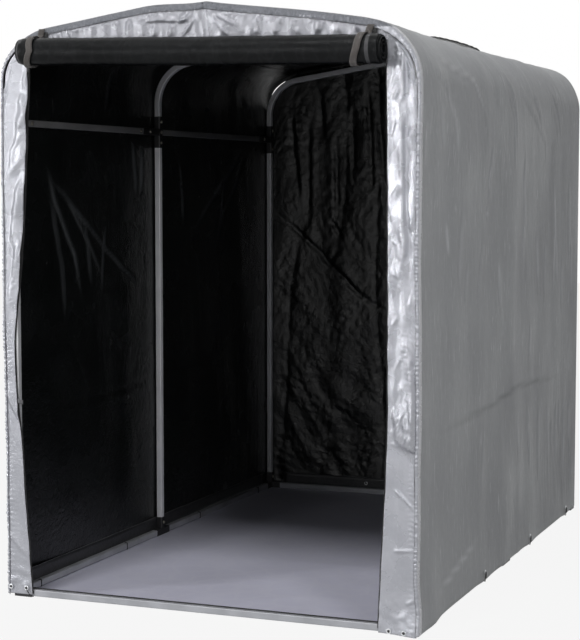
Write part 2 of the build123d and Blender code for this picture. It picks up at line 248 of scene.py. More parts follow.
def wire(name, points, radius, material):
    """Round elastic, cord or piping along a smooth line of points."""
    start_clean()
    data = bpy.data.curves.new(name, "CURVE")
    data.dimensions = "3D"
    data.bevel_depth = radius
    data.bevel_resolution = WIRE_STEPS
    data.use_fill_caps = True
    spline = data.splines.new("POLY")
    spline.points.add(len(points) - 1)
    for target, point in zip(spline.points, points):
        target.co = (*point, 1)
    piece = bpy.data.objects.new(name, data)
    bpy.context.scene.collection.objects.link(piece)
    pick(piece)
    bpy.ops.object.convert(target="MESH")
    piece = bpy.context.object
    bpy.ops.object.shade_smooth()
    paint(piece, material)
    return piece


# Folds, as hills and hollows on a flat sheet

def step(value, low, high):
    """Smooth step from 0 at low to 1 at high."""
    share = np.clip((value - low) / (high - low), 0, 1)
    return share * share * (3 - 2 * share)


def scattered(i, j, seed):
    """Repeatable value from -1 to 1 for each whole-numbered place."""
    mixed = (i * 374761393 + j * 668265263 + seed * 974634777) & 0xFFFFFFFF
    mixed = ((mixed ^ (mixed >> 13)) * 1274126177) & 0xFFFFFFFF
    return ((mixed ^ (mixed >> 16)) & 0xFFFF) / 32767.5 - 1


def pick_number(number, seed):
    """One repeatable number from -1 to 1."""
    return float(scattered(np.int64(number), np.int64(seed), seed))


def ripple(u, v, seed):
    """Soft hills and hollows about one unit apart, from -1 to 1."""
    u, v = np.broadcast_arrays(u, v)
    i = np.floor(u).astype(np.int64)
    j = np.floor(v).astype(np.int64)
    x = u - i
    y = v - j
    blend_x = x ** 3 * (x * (6 * x - 15) + 10)
    blend_y = y ** 3 * (y * (6 * y - 15) + 10)
    total = 0
    for di in (0, 1):
        for dj in (0, 1):
            turn = math.pi * scattered(i + di, j + dj, seed)
            slope = np.cos(turn) * (x - di) + np.sin(turn) * (y - dj)
            total += slope * (blend_x if di else 1 - blend_x) * (blend_y if dj else 1 - blend_y)
    return total * 1.5


def crease(u, v, seed, sharp):
    """Thin wandering ridges about one unit apart, from 0 to 1; a higher power makes them sharper."""
    return np.clip(1 - np.abs(ripple(u, v, seed)), 0, 1) ** sharp


def facets(u, v, seed):
    """Crushed sheet: flat facets that meet in sharp creases about one unit apart, from about -1 to 1."""
    total = 0
    for number in range(FACET_SETS):
        turn = math.pi * (number + 0.35 * pick_number(number, seed)) / FACET_SETS
        length = 1.0 + 0.45 * pick_number(number, seed + 1)
        travel = (u * math.cos(turn) + v * math.sin(turn)) / length
        travel = travel + 0.55 * ripple(u * 0.45 + number * 9, v * 0.45, seed + 2)
        saw = np.abs(2 * (travel - np.floor(travel)) - 1) * 2 - 1
        total += saw * np.clip(0.45 + ripple(u * 0.3, v * 0.3 + number * 5, seed + 3), 0, 1)
    return total / math.sqrt(FACET_SETS) * 1.3


def pull_line(u, v, start, end, width, height, skew=0.0):
    """One fold along a straight line that fades at both ends; skew leans it to one side."""
    start = np.array(start)
    run = np.array(end) - start
    length = math.hypot(*run)
    along = ((u - start[0]) * run[0] + (v - start[1]) * run[1]) / length
    away = (-(u - start[0]) * run[1] + (v - start[1]) * run[0]) / length
    away = away + 0.5 * width * ripple(along / 0.11, 7 * start[0], 17)
    fade = step(along, -0.02, 0.25 * length) * (1 - step(along, 0.7 * length, length + 0.02))
    shape = np.exp(-(away / width) ** 2)
    lean = skew * np.tanh(away / width) * np.exp(-(away / (3 * width)) ** 2)
    return height * fade * (shape + lean)


def fold_line(u, v, points, width, height, skew=0.0):
    """One fold along a bent line of points; it fades at both ends, and skew leans it to one side."""
    u, v = np.broadcast_arrays(u, v)
    nearest = np.full(u.shape, 9.0)
    side = np.zeros(u.shape)
    travel = np.zeros(u.shape)
    done = 0.0
    for start, end in zip(points[:-1], points[1:]):
        run_u, run_v = end[0] - start[0], end[1] - start[1]
        length = math.hypot(run_u, run_v)
        along = np.clip(((u - start[0]) * run_u + (v - start[1]) * run_v) / length, 0, length)
        away = np.hypot(u - start[0] - along * run_u / length, v - start[1] - along * run_v / length)
        closer = away < nearest
        nearest = np.where(closer, away, nearest)
        side = np.where(closer, np.sign(run_u * (v - start[1]) - run_v * (u - start[0])), side)
        travel = np.where(closer, done + along, travel)
        done += length
    away = side * nearest / width + 0.4 * ripple(travel / 0.09, 7 * points[0][0], 17)
    fade = step(travel, 0, 0.3 * done) * (1 - step(travel, 0.65 * done, done))
    lean = skew * np.tanh(away) * np.exp(-(away / 3) ** 2)
    return height * fade * ((1 - 0.6 * abs(skew)) * np.exp(-away ** 2) + lean)


def fan(u, v, centre, aims, reach, width, height, seed):
    """Tension folds that spread from one held point, aimed by angles in degrees."""
    total = 0
    for number, aim in enumerate(aims):
        turn = math.radians(aim)
        far = reach * (0.75 + 0.25 * pick_number(number, seed))
        end = (centre[0] + far * math.cos(turn), centre[1] + far * math.sin(turn))
        start = (centre[0] + 0.06 * math.cos(turn), centre[1] + 0.06 * math.sin(turn))
        total += pull_line(u, v, start, end, width, height, 0.6 * pick_number(number, seed + 5))
    return total


# Materials

PATCH_RANGE = (0.35, 0.65)
PATCHES_PER_METRE = 9.0
TAPE_RELIEF = 0.00010
STREAK_STRETCH = (11.0, 85.0, 1.0)
TUBE_STRETCH = (600.0, 600.0, 14.0)


def new_material(name, **sockets):
    """Material with one Principled shader; plain values go on its own sockets."""
    material = bpy.data.materials.new(name)
    material.use_nodes = True
    shader = material.node_tree.nodes["Principled BSDF"]
    for key, value in sockets.items():
        shader.inputs[key.replace("_", " ")].default_value = value
    return material, material.node_tree, shader


def add_node(tree, kind, inputs=None, **settings):
    """Node with its settings, and its inputs linked to a socket or set to a value."""
    made = tree.nodes.new(kind)
    for key, value in settings.items():
        setattr(made, key, value)
    for key, value in (inputs or {}).items():
        if isinstance(value, bpy.types.NodeSocket):
            tree.links.new(value, made.inputs[key])
        else:
            made.inputs[key].default_value = value
    return made


def calc(tree, operation, *values):
    """Math node; values are numbers or sockets."""
    return add_node(tree, "ShaderNodeMath", dict(enumerate(values)), operation=operation).outputs[0]


def noise(tree, place, scale, **settings):
    """Noise over a place, from 0 to 1."""
    inputs = {"Vector": place, "Scale": scale}
    for key, value in settings.items():
        inputs[key.capitalize()] = value
    return add_node(tree, "ShaderNodeTexNoise", inputs).outputs["Fac"]


def spread_value(tree, value, low, high, start=0.0, end=1.0):
    """A value held between start and end, as one between low and high."""
    inputs = {"Value": value, "From Min": start, "From Max": end, "To Min": low, "To Max": high}
    return add_node(tree, "ShaderNodeMapRange", inputs).outputs[0]


def new_group(name, inputs, outputs):
    """Empty node group with named inputs and outputs."""
    group = bpy.data.node_groups.new(name, "ShaderNodeTree")
    for label, kind, value in inputs:
        socket = group.interface.new_socket(label, in_out="INPUT", socket_type=kind)
        if value is not None:
            socket.default_value = value
    for label, kind in outputs:
        group.interface.new_socket(label, in_out="OUTPUT", socket_type=kind)
    return group, group.nodes.new("NodeGroupInput"), group.nodes.new("NodeGroupOutput")


def tape_weave():
    """Flat tapes woven over and under: a height and a mask of which tape is on top."""
    group, given, result = new_group(
        "tape_weave",
        [("Place", "NodeSocketVector", None), ("Tapes per metre", "NodeSocketFloat", 400.0)],
        [("Height", "NodeSocketFloat"), ("Over", "NodeSocketFloat")])
    scaled = add_node(group, "ShaderNodeVectorMath", {0: given.outputs["Place"], "Scale": given.outputs[1]},
                      operation="SCALE").outputs[0]
    parts = add_node(group, "ShaderNodeSeparateXYZ", {0: scaled}).outputs
    over = add_node(group, "ShaderNodeTexChecker", {"Vector": scaled, "Scale": 1.0}).outputs["Fac"]
    hills = []
    for axis in (0, 1):
        saw = calc(group, "FRACT", parts[axis])
        hills.append(calc(group, "SINE", calc(group, "MULTIPLY", saw, math.pi)))
    height = add_node(group, "ShaderNodeMix", {"Factor": over, "A": hills[0], "B": hills[1]},
                      data_type="FLOAT").outputs[0]
    group.links.new(height, result.inputs["Height"])
    group.links.new(over, result.inputs["Over"])
    return group


def crinkle_coat():
    """Fine crinkles of a coated sheet: a height, a mask of the sharp creases, and soft patches."""
    group, given, result = new_group(
        "crinkle_coat",
        [("Place", "NodeSocketVector", None), ("Crinkles per metre", "NodeSocketFloat", 25.0)],
        [("Height", "NodeSocketFloat"), ("Creases", "NodeSocketFloat"), ("Patches", "NodeSocketFloat")])
    place = given.outputs["Place"]
    size = given.outputs[1]
    bend = add_node(group, "ShaderNodeTexNoise", {"Vector": place, "Scale": size, "Detail": 2.0})
    shifted = add_node(group, "ShaderNodeVectorMath", {0: bend.outputs["Color"], "Scale": 0.03},
                       operation="SCALE").outputs[0]
    bent = add_node(group, "ShaderNodeVectorMath", {0: place, 1: shifted}, operation="ADD").outputs[0]
    cells = add_node(group, "ShaderNodeTexVoronoi", {"Vector": bent, "Scale": size},
                     feature="DISTANCE_TO_EDGE").outputs["Distance"]
    ridge = spread_value(group, cells, 1.0, 0.0, end=0.12)
    fine = noise(group, bent, calc(group, "MULTIPLY", size, 1.7), detail=4.0, roughness=0.6)
    sharp = calc(group, "ABSOLUTE", calc(group, "SUBTRACT", fine, 0.5))
    fold = calc(group, "SUBTRACT", 1.0, calc(group, "MULTIPLY", sharp, 5.0))
    height = calc(group, "ADD", calc(group, "MULTIPLY", cells, 0.8), calc(group, "MULTIPLY", fold, 0.5))
    soft = noise(group, place, calc(group, "MULTIPLY", size, 0.16), detail=3.0)
    patches = spread_value(group, soft, 0.0, 1.0, *PATCH_RANGE)
    group.links.new(height, result.inputs["Height"])
    group.links.new(ridge, result.inputs["Creases"])
    group.links.new(patches, result.inputs["Patches"])
    return group


def fine_grain():
    """Small even grain with a few larger worn patches, on object coordinates."""
    group, given, result = new_group(
        "fine_grain",
        [("Place", "NodeSocketVector", None), ("Grains per metre", "NodeSocketFloat", 900.0)],
        [("Height", "NodeSocketFloat"), ("Patches", "NodeSocketFloat")])
    grain = noise(group, given.outputs["Place"], given.outputs[1], detail=3.0)
    soft = noise(group, given.outputs["Place"], PATCHES_PER_METRE, detail=4.0)
    patches = spread_value(group, soft, 0.0, 1.0, *PATCH_RANGE)
    group.links.new(grain, result.inputs["Height"])
    group.links.new(patches, result.inputs["Patches"])
    return group


WEAVE = tape_weave()
CRINKLE = crinkle_coat()
GRAIN = fine_grain()


def use_group(tree, group, **inputs):
    """A node group placed in a material."""
    named = {key.replace("_", " "): value for key, value in inputs.items()}
    return add_node(tree, "ShaderNodeGroup", named, node_tree=group).outputs


def blend_colour(tree, mask, first, second):
    """Two colours, sockets or values, mixed by a mask."""
    ends = [value if isinstance(value, bpy.types.NodeSocket) else (*value, 1) for value in (first, second)]
    inputs = {0: mask, 6: ends[0], 7: ends[1]}
    return add_node(tree, "ShaderNodeMix", inputs, data_type="RGBA").outputs[2]


def bump(tree, shader, layers):
    """Chain of bump nodes, each with its height and its depth in metres, into the shader."""
    normal = None
    for height, depth in layers:
        inputs = {"Height": height, "Distance": depth}
        if normal is not None:
            inputs["Normal"] = normal
        normal = add_node(tree, "ShaderNodeBump", inputs).outputs[0]
    tree.links.new(normal, shader.inputs["Normal"])


def cloth_place(tree):
    """Place on the flat sheet, in metres."""
    return add_node(tree, "ShaderNodeUVMap", uv_map="cloth").outputs[0]


def object_place(tree):
    """Place in the shelter's own frame, in metres."""
    return add_node(tree, "ShaderNodeTexCoord").outputs["Object"]


def coated_sheet(name, dark, light, tone_and_painted_light, rough, depth, metallic=0.0, crinkles=22.0, specular=0.5, crease_highlight=0.3,
                 streak_sheen=0.0, streak_depth=0.0008, sparse=0.60, fold_highlight_colour=None):
    """Woven sheet with a coat: tapes show faintly, creases and short streaks are lightened as painted
    highlights and sheen, and marked folds get painted highlights, the packing crease painted shade.
    """
    material, tree, shader = new_material(name, Metallic=metallic, Specular_IOR_Level=specular)
    place = cloth_place(tree)
    weave = use_group(tree, WEAVE, Place=place)
    crinkle = use_group(tree, CRINKLE, Place=place, Crinkles_per_metre=crinkles)
    base = blend_colour(tree, crinkle["Patches"], dark, light)
    tapes = blend_colour(tree, calc(tree, "MULTIPLY", weave["Over"], 0.12), base, tone_and_painted_light)
    # Painted highlight: the sharp crinkle creases are lightened toward the pale colour.
    colour = blend_colour(tree, calc(tree, "MULTIPLY", crinkle["Creases"], crease_highlight), tapes, tone_and_painted_light)
    layers = [(crinkle["Height"], depth), (weave["Height"], TAPE_RELIEF)]
    if streak_sheen > 0:
        along = add_node(tree, "ShaderNodeMapping", {"Vector": place, "Scale": STREAK_STRETCH}).outputs[0]
        lines = noise(tree, along, 1.0, detail=2.0, distortion=0.6)
        streaks = spread_value(tree, lines, 0.0, 1.0, sparse, sparse + 0.11)
        # Painted sheen: the short streaks are lightened toward the pale colour; they also give a small bump.
        colour = blend_colour(tree, calc(tree, "MULTIPLY", streaks, streak_sheen), colour, tone_and_painted_light)
        layers.append((streaks, streak_depth))
    if fold_highlight_colour:
        folds = add_node(tree, "ShaderNodeAttribute", attribute_name="tone_and_painted_light").outputs["Fac"]
        # Painted highlights along the folds marked on the mesh.
        fold_highlight = calc(tree, "MULTIPLY", folds, spread_value(tree, crinkle["Patches"], 0.45, 1.0))
        colour = blend_colour(tree, fold_highlight, colour, fold_highlight_colour)
        # Painted shade: the packing crease, marked below 0, is darkened.
        crease_shade = spread_value(tree, folds, 0.0, 1.0, 0.0, -1.0)
        colour = blend_colour(tree, crease_shade, colour, tuple(0.5 * value for value in dark))
    tree.links.new(colour, shader.inputs["Base Color"])
    roughness = spread_value(tree, crinkle["Patches"], rough - 0.07, rough + 0.09)
    tree.links.new(roughness, shader.inputs["Roughness"])
    bump(tree, shader, layers)
    return material


def drawn_tube(name, dull, bright, metallic):
    """Satin drawn aluminium, with fine lines along the tube and dull patches."""
    material, tree, shader = new_material(name, Metallic=metallic)
    place = object_place(tree)
    stretched = add_node(tree, "ShaderNodeMapping", {"Vector": place, "Scale": TUBE_STRETCH}).outputs[0]
    lines = noise(tree, stretched, 1.0, detail=3.0)
    grain = use_group(tree, GRAIN, Place=place)
    tree.links.new(blend_colour(tree, grain["Patches"], dull, bright),
                   shader.inputs["Base Color"])
    tree.links.new(spread_value(tree, lines, 0.30, 0.52), shader.inputs["Roughness"])
    bump(tree, shader, [(lines, 0.00008)])
    return material


def grained_solid(name, dark, light, rough, grains, depth, metallic=0.0):
    """Moulded plastic or coated metal with a fine grain."""
    material, tree, shader = new_material(name, Metallic=metallic)
    grain = use_group(tree, GRAIN, Place=object_place(tree), Grains_per_metre=grains)
    tree.links.new(blend_colour(tree, grain["Patches"], dark, light), shader.inputs["Base Color"])
    roughness = spread_value(tree, grain["Patches"], rough - 0.08, rough + 0.1)
    tree.links.new(roughness, shader.inputs["Roughness"])
    bump(tree, shader, [(grain["Height"], depth)])
    return material


def flat_webbing(name, dark, light, ribs):
    """Flat woven webbing with ribs across it."""
    material, tree, shader = new_material(name, Sheen_Weight=0.2)
    place = cloth_place(tree)
    weave = use_group(tree, WEAVE, Place=place, Tapes_per_metre=ribs)
    grain = use_group(tree, GRAIN, Place=place, Grains_per_metre=300.0)
    base = blend_colour(tree, grain["Patches"], dark, light)
    tree.links.new(blend_colour(tree, calc(tree, "MULTIPLY", weave["Over"], 0.35), base, light),
                   shader.inputs["Base Color"])
    tree.links.new(spread_value(tree, grain["Patches"], 0.62, 0.85), shader.inputs["Roughness"])
    bump(tree, shader, [(weave["Height"], 0.0004)])
    return material


# The walls' silver: its fold colour gives painted highlights along the folds, its streaks painted sheen.
SILVER = coated_sheet(
    "silver_coat", (0.40, 0.415, 0.43), (0.44, 0.45, 0.468), (0.70, 0.71, 0.74), 0.42, 0.0006, metallic=0.05,
    crinkles=14.0, specular=0.08, crease_highlight=0.06, streak_sheen=0.55, fold_highlight_colour=(0.80, 0.81, 0.84))
SILVER_CRUSHED = coated_sheet(
    "silver_coat_crushed", (0.42, 0.43, 0.48), (0.48, 0.49, 0.54), (0.70, 0.71, 0.75), 0.26, 0.0004,
    metallic=0.25, crinkles=80.0, specular=0.9, crease_highlight=0.12)
# A darker copy of the front's crushed silver for the header: painted shade.
SHADED_HEADER_COAT = coated_sheet(
    "silver_coat_header_painted_shade", (0.325, 0.33, 0.37), (0.38, 0.385, 0.425), (0.62, 0.63, 0.67), 0.26, 0.0004,
    metallic=0.25, crinkles=80.0, specular=0.9, crease_highlight=0.14)
# A darker copy of the silver coat for the turned-in band on the roof: painted shade.
SHADED_ROOF_EDGE = coated_sheet(
    "silver_coat_dull_painted_shade", (0.165, 0.175, 0.20), (0.205, 0.215, 0.24), (0.42, 0.43, 0.47), 0.42, 0.0008,
    metallic=0.05, crinkles=60.0, specular=0.3, crease_highlight=0.25)
SEAM_EDGE = coated_sheet(
    "seam_edge", (0.10, 0.10, 0.11), (0.20, 0.20, 0.22), (0.45, 0.45, 0.48), 0.5, 0.0008, crinkles=60.0)
# The black lining: its fold colour and its streaks give painted glints.
BLACK_LINING = coated_sheet(
    "black_lining", (0.003, 0.0038, 0.0036), (0.006, 0.0070, 0.0070), (0.03, 0.032, 0.034), 0.24, 0.0020,
    specular=0.4, crease_highlight=0.06, streak_sheen=0.3, streak_depth=0.002, sparse=0.70, fold_highlight_colour=(0.16, 0.17, 0.18))
ROLLED_COAT = coated_sheet(
    "rolled_black_coat", (0.0050, 0.0056, 0.0060), (0.008, 0.0088, 0.0095), (0.025, 0.026, 0.028), 0.25,
    0.0012, specular=0.09)
ROLL_EDGE = coated_sheet(
    "roll_edge_tape", (0.022, 0.023, 0.026), (0.036, 0.037, 0.040), (0.07, 0.07, 0.075), 0.5, 0.0006)
GROUND_COAT = coated_sheet(
    "ground_coat", (0.70, 0.70, 0.84), (0.75, 0.75, 0.90), (0.80, 0.80, 0.91), 0.5, 0.0004, crinkles=9.0)
HEM_BAND = coated_sheet(
    "hem_band", (0.020, 0.021, 0.023), (0.03, 0.031, 0.034), (0.07, 0.07, 0.075), 0.42, 0.0008)
PALE_LINING = coated_sheet(
    "pale_lining", (0.78, 0.78, 0.75), (0.86, 0.86, 0.83), (0.92, 0.92, 0.90), 0.6, 0.003, crinkles=45.0)
ALUMINIUM = drawn_tube("drawn_tube", (0.82, 0.83, 0.86), (0.93, 0.94, 0.96), 0.15)
# A darker copy of the tubes' aluminium for the base rails and sill: painted shade.
SHADED_BASE_ALUMINIUM = drawn_tube("base_tube_painted_shade", (0.42, 0.43, 0.46), (0.54, 0.55, 0.59), 0.25)
DARK_BAR = grained_solid(
    "dark_bar_coat", (0.20, 0.20, 0.205), (0.26, 0.26, 0.265), 0.45, 700.0, 0.00005, metallic=0.3)
MOULDED = grained_solid("moulded_black", (0.008, 0.008, 0.009), (0.016, 0.016, 0.018), 0.48, 1400.0, 0.00008)
BOLT_STEEL = grained_solid(
    "bolt_steel", (0.45, 0.43, 0.38), (0.62, 0.60, 0.54), 0.32, 1200.0, 0.00004, metallic=1.0)
EYELET_METAL = grained_solid(
    "eyelet_metal", (0.50, 0.51, 0.53), (0.68, 0.69, 0.71), 0.3, 1200.0, 0.00004, metallic=1.0)
# Black elastic; it also fills the eyelet holes as painted shade.
ELASTIC_AND_HOLE_SHADE = grained_solid("black_elastic_and_hole_shade", (0.008, 0.008, 0.009), (0.02, 0.02, 0.022), 0.7, 2200.0, 0.0002)
STRAP = flat_webbing("strap_webbing", (0.070, 0.062, 0.058), (0.115, 0.104, 0.098), 520.0)
BLACK_TAPE = flat_webbing("black_tape", (0.006, 0.006, 0.007), (0.014, 0.014, 0.015), 700.0)
# Grey for the flap's tab; it also makes the painted highlight along the hems' fold edge.
GREY_TAB_AND_HEM_HIGHLIGHT = flat_webbing("grey_tab_and_hem_highlight", (0.10, 0.10, 0.11), (0.18, 0.18, 0.19), 600.0)


# Outline of the cover

def outline(down):
    """Place (x, z) and outward direction on the outline, a distance down from the ridge; negative is left."""
    side = np.where(down < 0, -1.0, 1.0)
    far = np.abs(down)
    centre = HALF_WIDTH - EAVE_RADIUS
    turn = PITCH + np.clip((far - SLOPE) / EAVE_RADIUS, 0, math.pi / 2 - PITCH)
    x = centre + EAVE_RADIUS * np.sin(turn) - np.clip(SLOPE - far, 0, None) * math.cos(PITCH)
    z = EAVE_START + EAVE_RADIUS * np.cos(turn) + np.clip(SLOPE - far, 0, None) * math.sin(PITCH)
    z = z - np.clip(far - SLOPE - EAVE_LENGTH, 0, None)
    return side * x, z, side * np.sin(turn), np.cos(turn)


def seam_inset(down):
    """Distance from the outline to the seam on the front and back: wider on the roof than on the walls."""
    return ROOF_INSET + (SIDE_INSET - ROOF_INSET) * step(np.abs(down), SLOPE, SLOPE + EAVE_LENGTH)


def roof_swell(down, y):
    """How far the roof stands off the bows: more on the left than on the right, and a little at the ridge."""
    far = np.abs(down)
    back = step(y, -0.9, 0.9)
    left = LEFT_RISE * step(far, -0.02, 0.24) * (1 - step(far, SLOPE + 0.12, SLOPE + 0.27))
    fall = step(far, SLOPE - 0.06 + 0.14 * back, SLOPE + 0.15 + 0.06 * back)
    right = RIGHT_RISE * step(far, -0.10, 0.50) * (1 - fall)
    right = right * (1 - 0.45 * step(y, -1.05, -0.50) - 0.35 * np.exp(-(y / 0.30) ** 2))
    return np.where(down < 0, left, right) + RIDGE_RISE * np.exp(-(far / 0.05) ** 2)


def corner_swell(x, y, z):
    """How far the front corners stand out beyond the frame."""
    near_front = 1 - step(y, FRONT, FRONT + 0.42)
    near_side = step(np.abs(x), HALF_WIDTH - 0.10, HALF_WIDTH - 0.01)
    left = 0.0225 + 0.008 * step(z, 0.75, 1.15) - 0.006 * step(z, 1.55, 1.90) - 0.0245 * step(z, 1.88, 2.06)
    right = 0.013 * (1 - step(z, 0.0, 0.20)) - 0.0015
    wave = 0.0035 * ripple(z / 0.23, 0.5, 31) * (1 - step(z, 1.7, 1.9))
    return np.sign(x) * (np.where(x < 0, left, right) + wave) * near_front * near_side


def corner_kick(x, z):
    """How far the bottom corner of the right flap stands forward."""
    return KICK * (1 - step(z, 0.0, 0.10)) * step(x, 0.66, 0.77)


def eave_swell(x, z):
    """How far the outer edge of a flap moves sideways with the swollen eave."""
    turn = np.arccos(np.clip((z - EAVE_START) / EAVE_RADIUS, 0, math.cos(PITCH)))
    down = np.sign(x) * (SLOPE + EAVE_RADIUS * (turn - PITCH))
    near_side = step(np.abs(x), HALF_WIDTH - 0.14, HALF_WIDTH - 0.02)
    on_eave = step(z, EAVE_START - 0.02, EAVE_START)
    return np.sign(x) * roof_swell(down, FRONT) * np.sin(turn) * near_side * on_eave


def wrap(t, inset, corner):
    """Round the front corner, along the side and round the back corner, as t runs 0-1-2-3-4-5."""
    near = np.minimum(t, 5 - t)
    turn = np.clip(near - 1, 0, 1) * math.pi / 2
    inside = np.where(near < 1, inset + (corner - inset) * near, corner * (1 - np.sin(turn)))
    reach = corner * (1 - np.cos(turn))
    depth = BACK - FRONT - 2 * corner
    body = np.clip(t - 2, 0, 1) * depth
    y = np.where(t < 2, FRONT + reach, np.where(t > 3, BACK - reach, FRONT + corner + body))
    facing = np.where(t < 2.5, -np.cos(turn), np.cos(turn))
    end = (inset - corner) * np.clip(near, 0, 1) + corner * turn
    total = 2 * (inset - corner) + math.pi * corner + depth
    cloth = np.where(t < 2.5, end + body * (t >= 2), total - end - (depth - body) * (t <= 3))
    return inside, y, np.sin(turn), facing, cloth


def free_span(y, down):
    """How free the cover is to sag: 0 on the frame, 1 far from it."""
    free = 1.0
    for hoop in HOOPS:
        free = free * step(np.abs(y - hoop), 0.025, 0.30)
    far = np.abs(down)
    free = free * step(far, 0.02, 0.22)
    free = free * step(np.abs(far - BAR_DOWN), 0.022, 0.22)
    return free * step(REACH - far, 0.04, 0.30)


# Folds on the walls, as lines of (depth, height), read from the photo
RIGHT_FOLDS = (
    ((-1.141, 1.929), (-0.927, 1.858), (-0.80, 1.70)), ((-1.066, 1.968), (-0.585, 1.896), (-0.35, 1.74)),
    ((-0.135, 1.987), (-0.02, 1.869), (0.03, 1.80), (0.06, 1.60)),
    ((-0.102, 1.931), (-0.068, 1.867), (0.015, 1.78), (0.02, 1.55)),
    ((0.083, 1.922), (0.246, 1.85), (0.555, 1.70), (0.60, 1.55)),
    ((0.33, 1.907), (0.422, 1.829), (0.497, 1.75)), ((0.677, 1.934), (0.778, 1.862), (0.863, 1.72)),
    ((-0.864, 1.817), (-0.80, 1.70), (-0.784, 1.60)), ((-0.295, 1.70), (-0.313, 1.512), (-0.347, 1.40)),
    ((-0.368, 1.425), (-0.338, 1.387)), ((-0.41, 1.32), (-0.434, 1.235), (-0.50, 1.05)),
    ((-1.150, 1.75), (-1.164, 1.70), (-1.18, 1.55)), ((-0.45, 0.19), (-0.517, 0.17), (-1.05, 0.085)),
    ((-0.382, 0.60), (-0.394, 0.484), (-0.418, 0.30)), ((0.50, 0.60), (0.507, 0.489), (0.521, 0.205)),
    ((0.98, 0.62), (1.00, 0.35), (0.98, 0.12)), ((-1.022, 1.803), (-0.947, 1.62)),
    ((0.20, 1.70), (0.24, 1.40), (0.20, 1.10)), ((0.75, 1.60), (0.80, 1.30), (0.76, 1.00)),
    ((0.30, 0.62), (0.36, 0.30)), ((0.66, 0.60), (0.70, 0.25)), ((0.84, 0.58), (0.86, 0.22)),
    ((-0.70, 1.45), (-0.74, 1.10)), ((1.05, 1.55), (1.08, 1.10)), ((0.45, 1.35), (0.50, 1.05)),
    ((0.62, 1.30), (0.60, 1.00)), ((0.80, 1.32), (0.84, 1.05)), ((0.95, 1.20), (0.93, 0.95)),
    ((1.10, 1.30), (1.12, 1.00)), ((0.35, 0.95), (0.33, 0.78)), ((0.90, 0.56), (0.92, 0.38)),
    ((1.08, 0.55), (1.10, 0.30)), ((0.75, 0.50), (0.77, 0.33)), ((-0.62, 1.25), (-0.66, 1.05)),
    ((-0.90, 1.40), (-0.86, 1.25)), ((-0.20, 1.25), (-0.16, 1.02)), ((0.10, 0.62), (0.14, 0.40)))
PACKING_CREASE = (
    (-1.05, 0.650), (-0.838, 0.654), (-0.385, 0.661), (0.10, 0.700), (0.35, 0.690), (0.60, 0.672),
    (1.05, 0.664))
LEFT_FOLDS = (
    ((-0.98, 1.58), (-0.944, 1.546), (-0.768, 1.426), (-0.556, 1.292), (-0.385, 1.188), (-0.062, 1.019)),
    ((-0.966, 1.60), (-0.901, 1.435), (-0.771, 1.243), (-0.70, 1.05)), ((-0.68, 1.40), (-0.627, 1.08)),
    ((-0.50, 1.38), (-0.55, 1.06)), ((-0.25, 1.72), (-0.216, 1.45)), ((-0.158, 1.70), (-0.179, 1.45)),
    ((-0.432, 1.99), (-0.487, 1.80)), ((0.99, 1.72), (0.446, 1.39), (0.30, 1.28)),
    ((0.99, 1.70), (0.671, 1.377), (0.58, 1.20)), ((-0.88, 1.52), (-0.66, 1.30), (-0.50, 1.10)),
    ((-0.95, 1.50), (-0.86, 1.20), (-0.84, 0.95)), ((0.20, 1.66), (0.24, 1.30)),
    ((0.70, 1.60), (0.62, 1.25)))
BACK_FOLDS = (
    ((-0.562, 1.91), (-0.567, 1.25)), ((-0.425, 1.78), (-0.424, 1.28)), ((-0.261, 2.073), (-0.233, 1.40)),
    ((-0.46, 1.36), (-0.388, 1.24)), ((-0.78, 1.43), (-0.55, 1.22), (-0.30, 0.98), (-0.10, 0.86)),
    ((-0.663, 1.90), (-0.609, 1.40)), ((-0.348, 1.95), (-0.337, 1.50)), ((-0.50, 2.0), (-0.49, 1.72)),
    ((-0.20, 1.80), (-0.16, 1.35)), ((0.10, 1.95), (0.12, 1.30)), ((0.45, 1.90), (0.50, 1.20)))


def wall_folds(down, y):
    """Height of the folds on the side walls, outward, in metres."""
    far = np.abs(down)
    hand = np.where(down < 0, 1, 0)
    z = EAVE_START - (far - SLOPE - EAVE_LENGTH)
    bend = 0.5 * ripple(z / 0.6, y / 0.4, 5)
    folds = 0.0006 * ripple(y / 0.060 + bend + 40 * hand, z / 0.5, 11)
    folds += 0.0055 * ripple(y / 0.22 + bend + 13 * hand + 0.3 * z, z / 0.9, 12)
    folds += 0.0006 * facets(y / 0.17, z / 0.30, 14)
    slanted = y + 0.50 * (z - 1.3)
    upper = step(z, 1.25, 1.80) * np.clip(0.4 + 1.3 * ripple(y / 0.30, z / 0.25, 18), 0, 1)
    slants = 0.0008 * crease(slanted / 0.045, z / 0.30, 19, 6)
    folds += (slants + 0.0007 * ripple(slanted / 0.024, z / 0.20, 20)) * upper
    lively = np.clip(0.3 + 1.5 * ripple(y / 0.35, z / 0.35, 23), 0, 1)
    folds += 0.0009 * lively * crease(y / 0.05 + 0.2 * z, z / 0.22, 24, 8)
    low_back = step(y, 0.1, 0.9) * (1 - step(z, 0.45, 0.66)) * step(z, 0.03, 0.15)
    folds += 0.0014 * low_back * ripple(y / 0.030, z / 0.30, 15)
    below_eave = step(far, SLOPE * 0.95, SLOPE + EAVE_LENGTH * 0.8)
    for number, line in enumerate(RIGHT_FOLDS):
        folds += (1 - hand) * fold_line(y, z, line, 0.0072, 0.0044, 0.9 + 0.2 * pick_number(number, 3))
    for number, line in enumerate(LEFT_FOLDS):
        folds += hand * fold_line(y, z, line, 0.0090, 0.0070, 0.5 * pick_number(number, 4))
    packing = fold_line(y, z, PACKING_CREASE, 0.007, 0.0034, 0.8) + 0.003 * np.exp(
        -(((y - 0.25) / 0.16) ** 2 + ((z - 0.70) / 0.02) ** 2))
    return (folds + packing) * below_eave


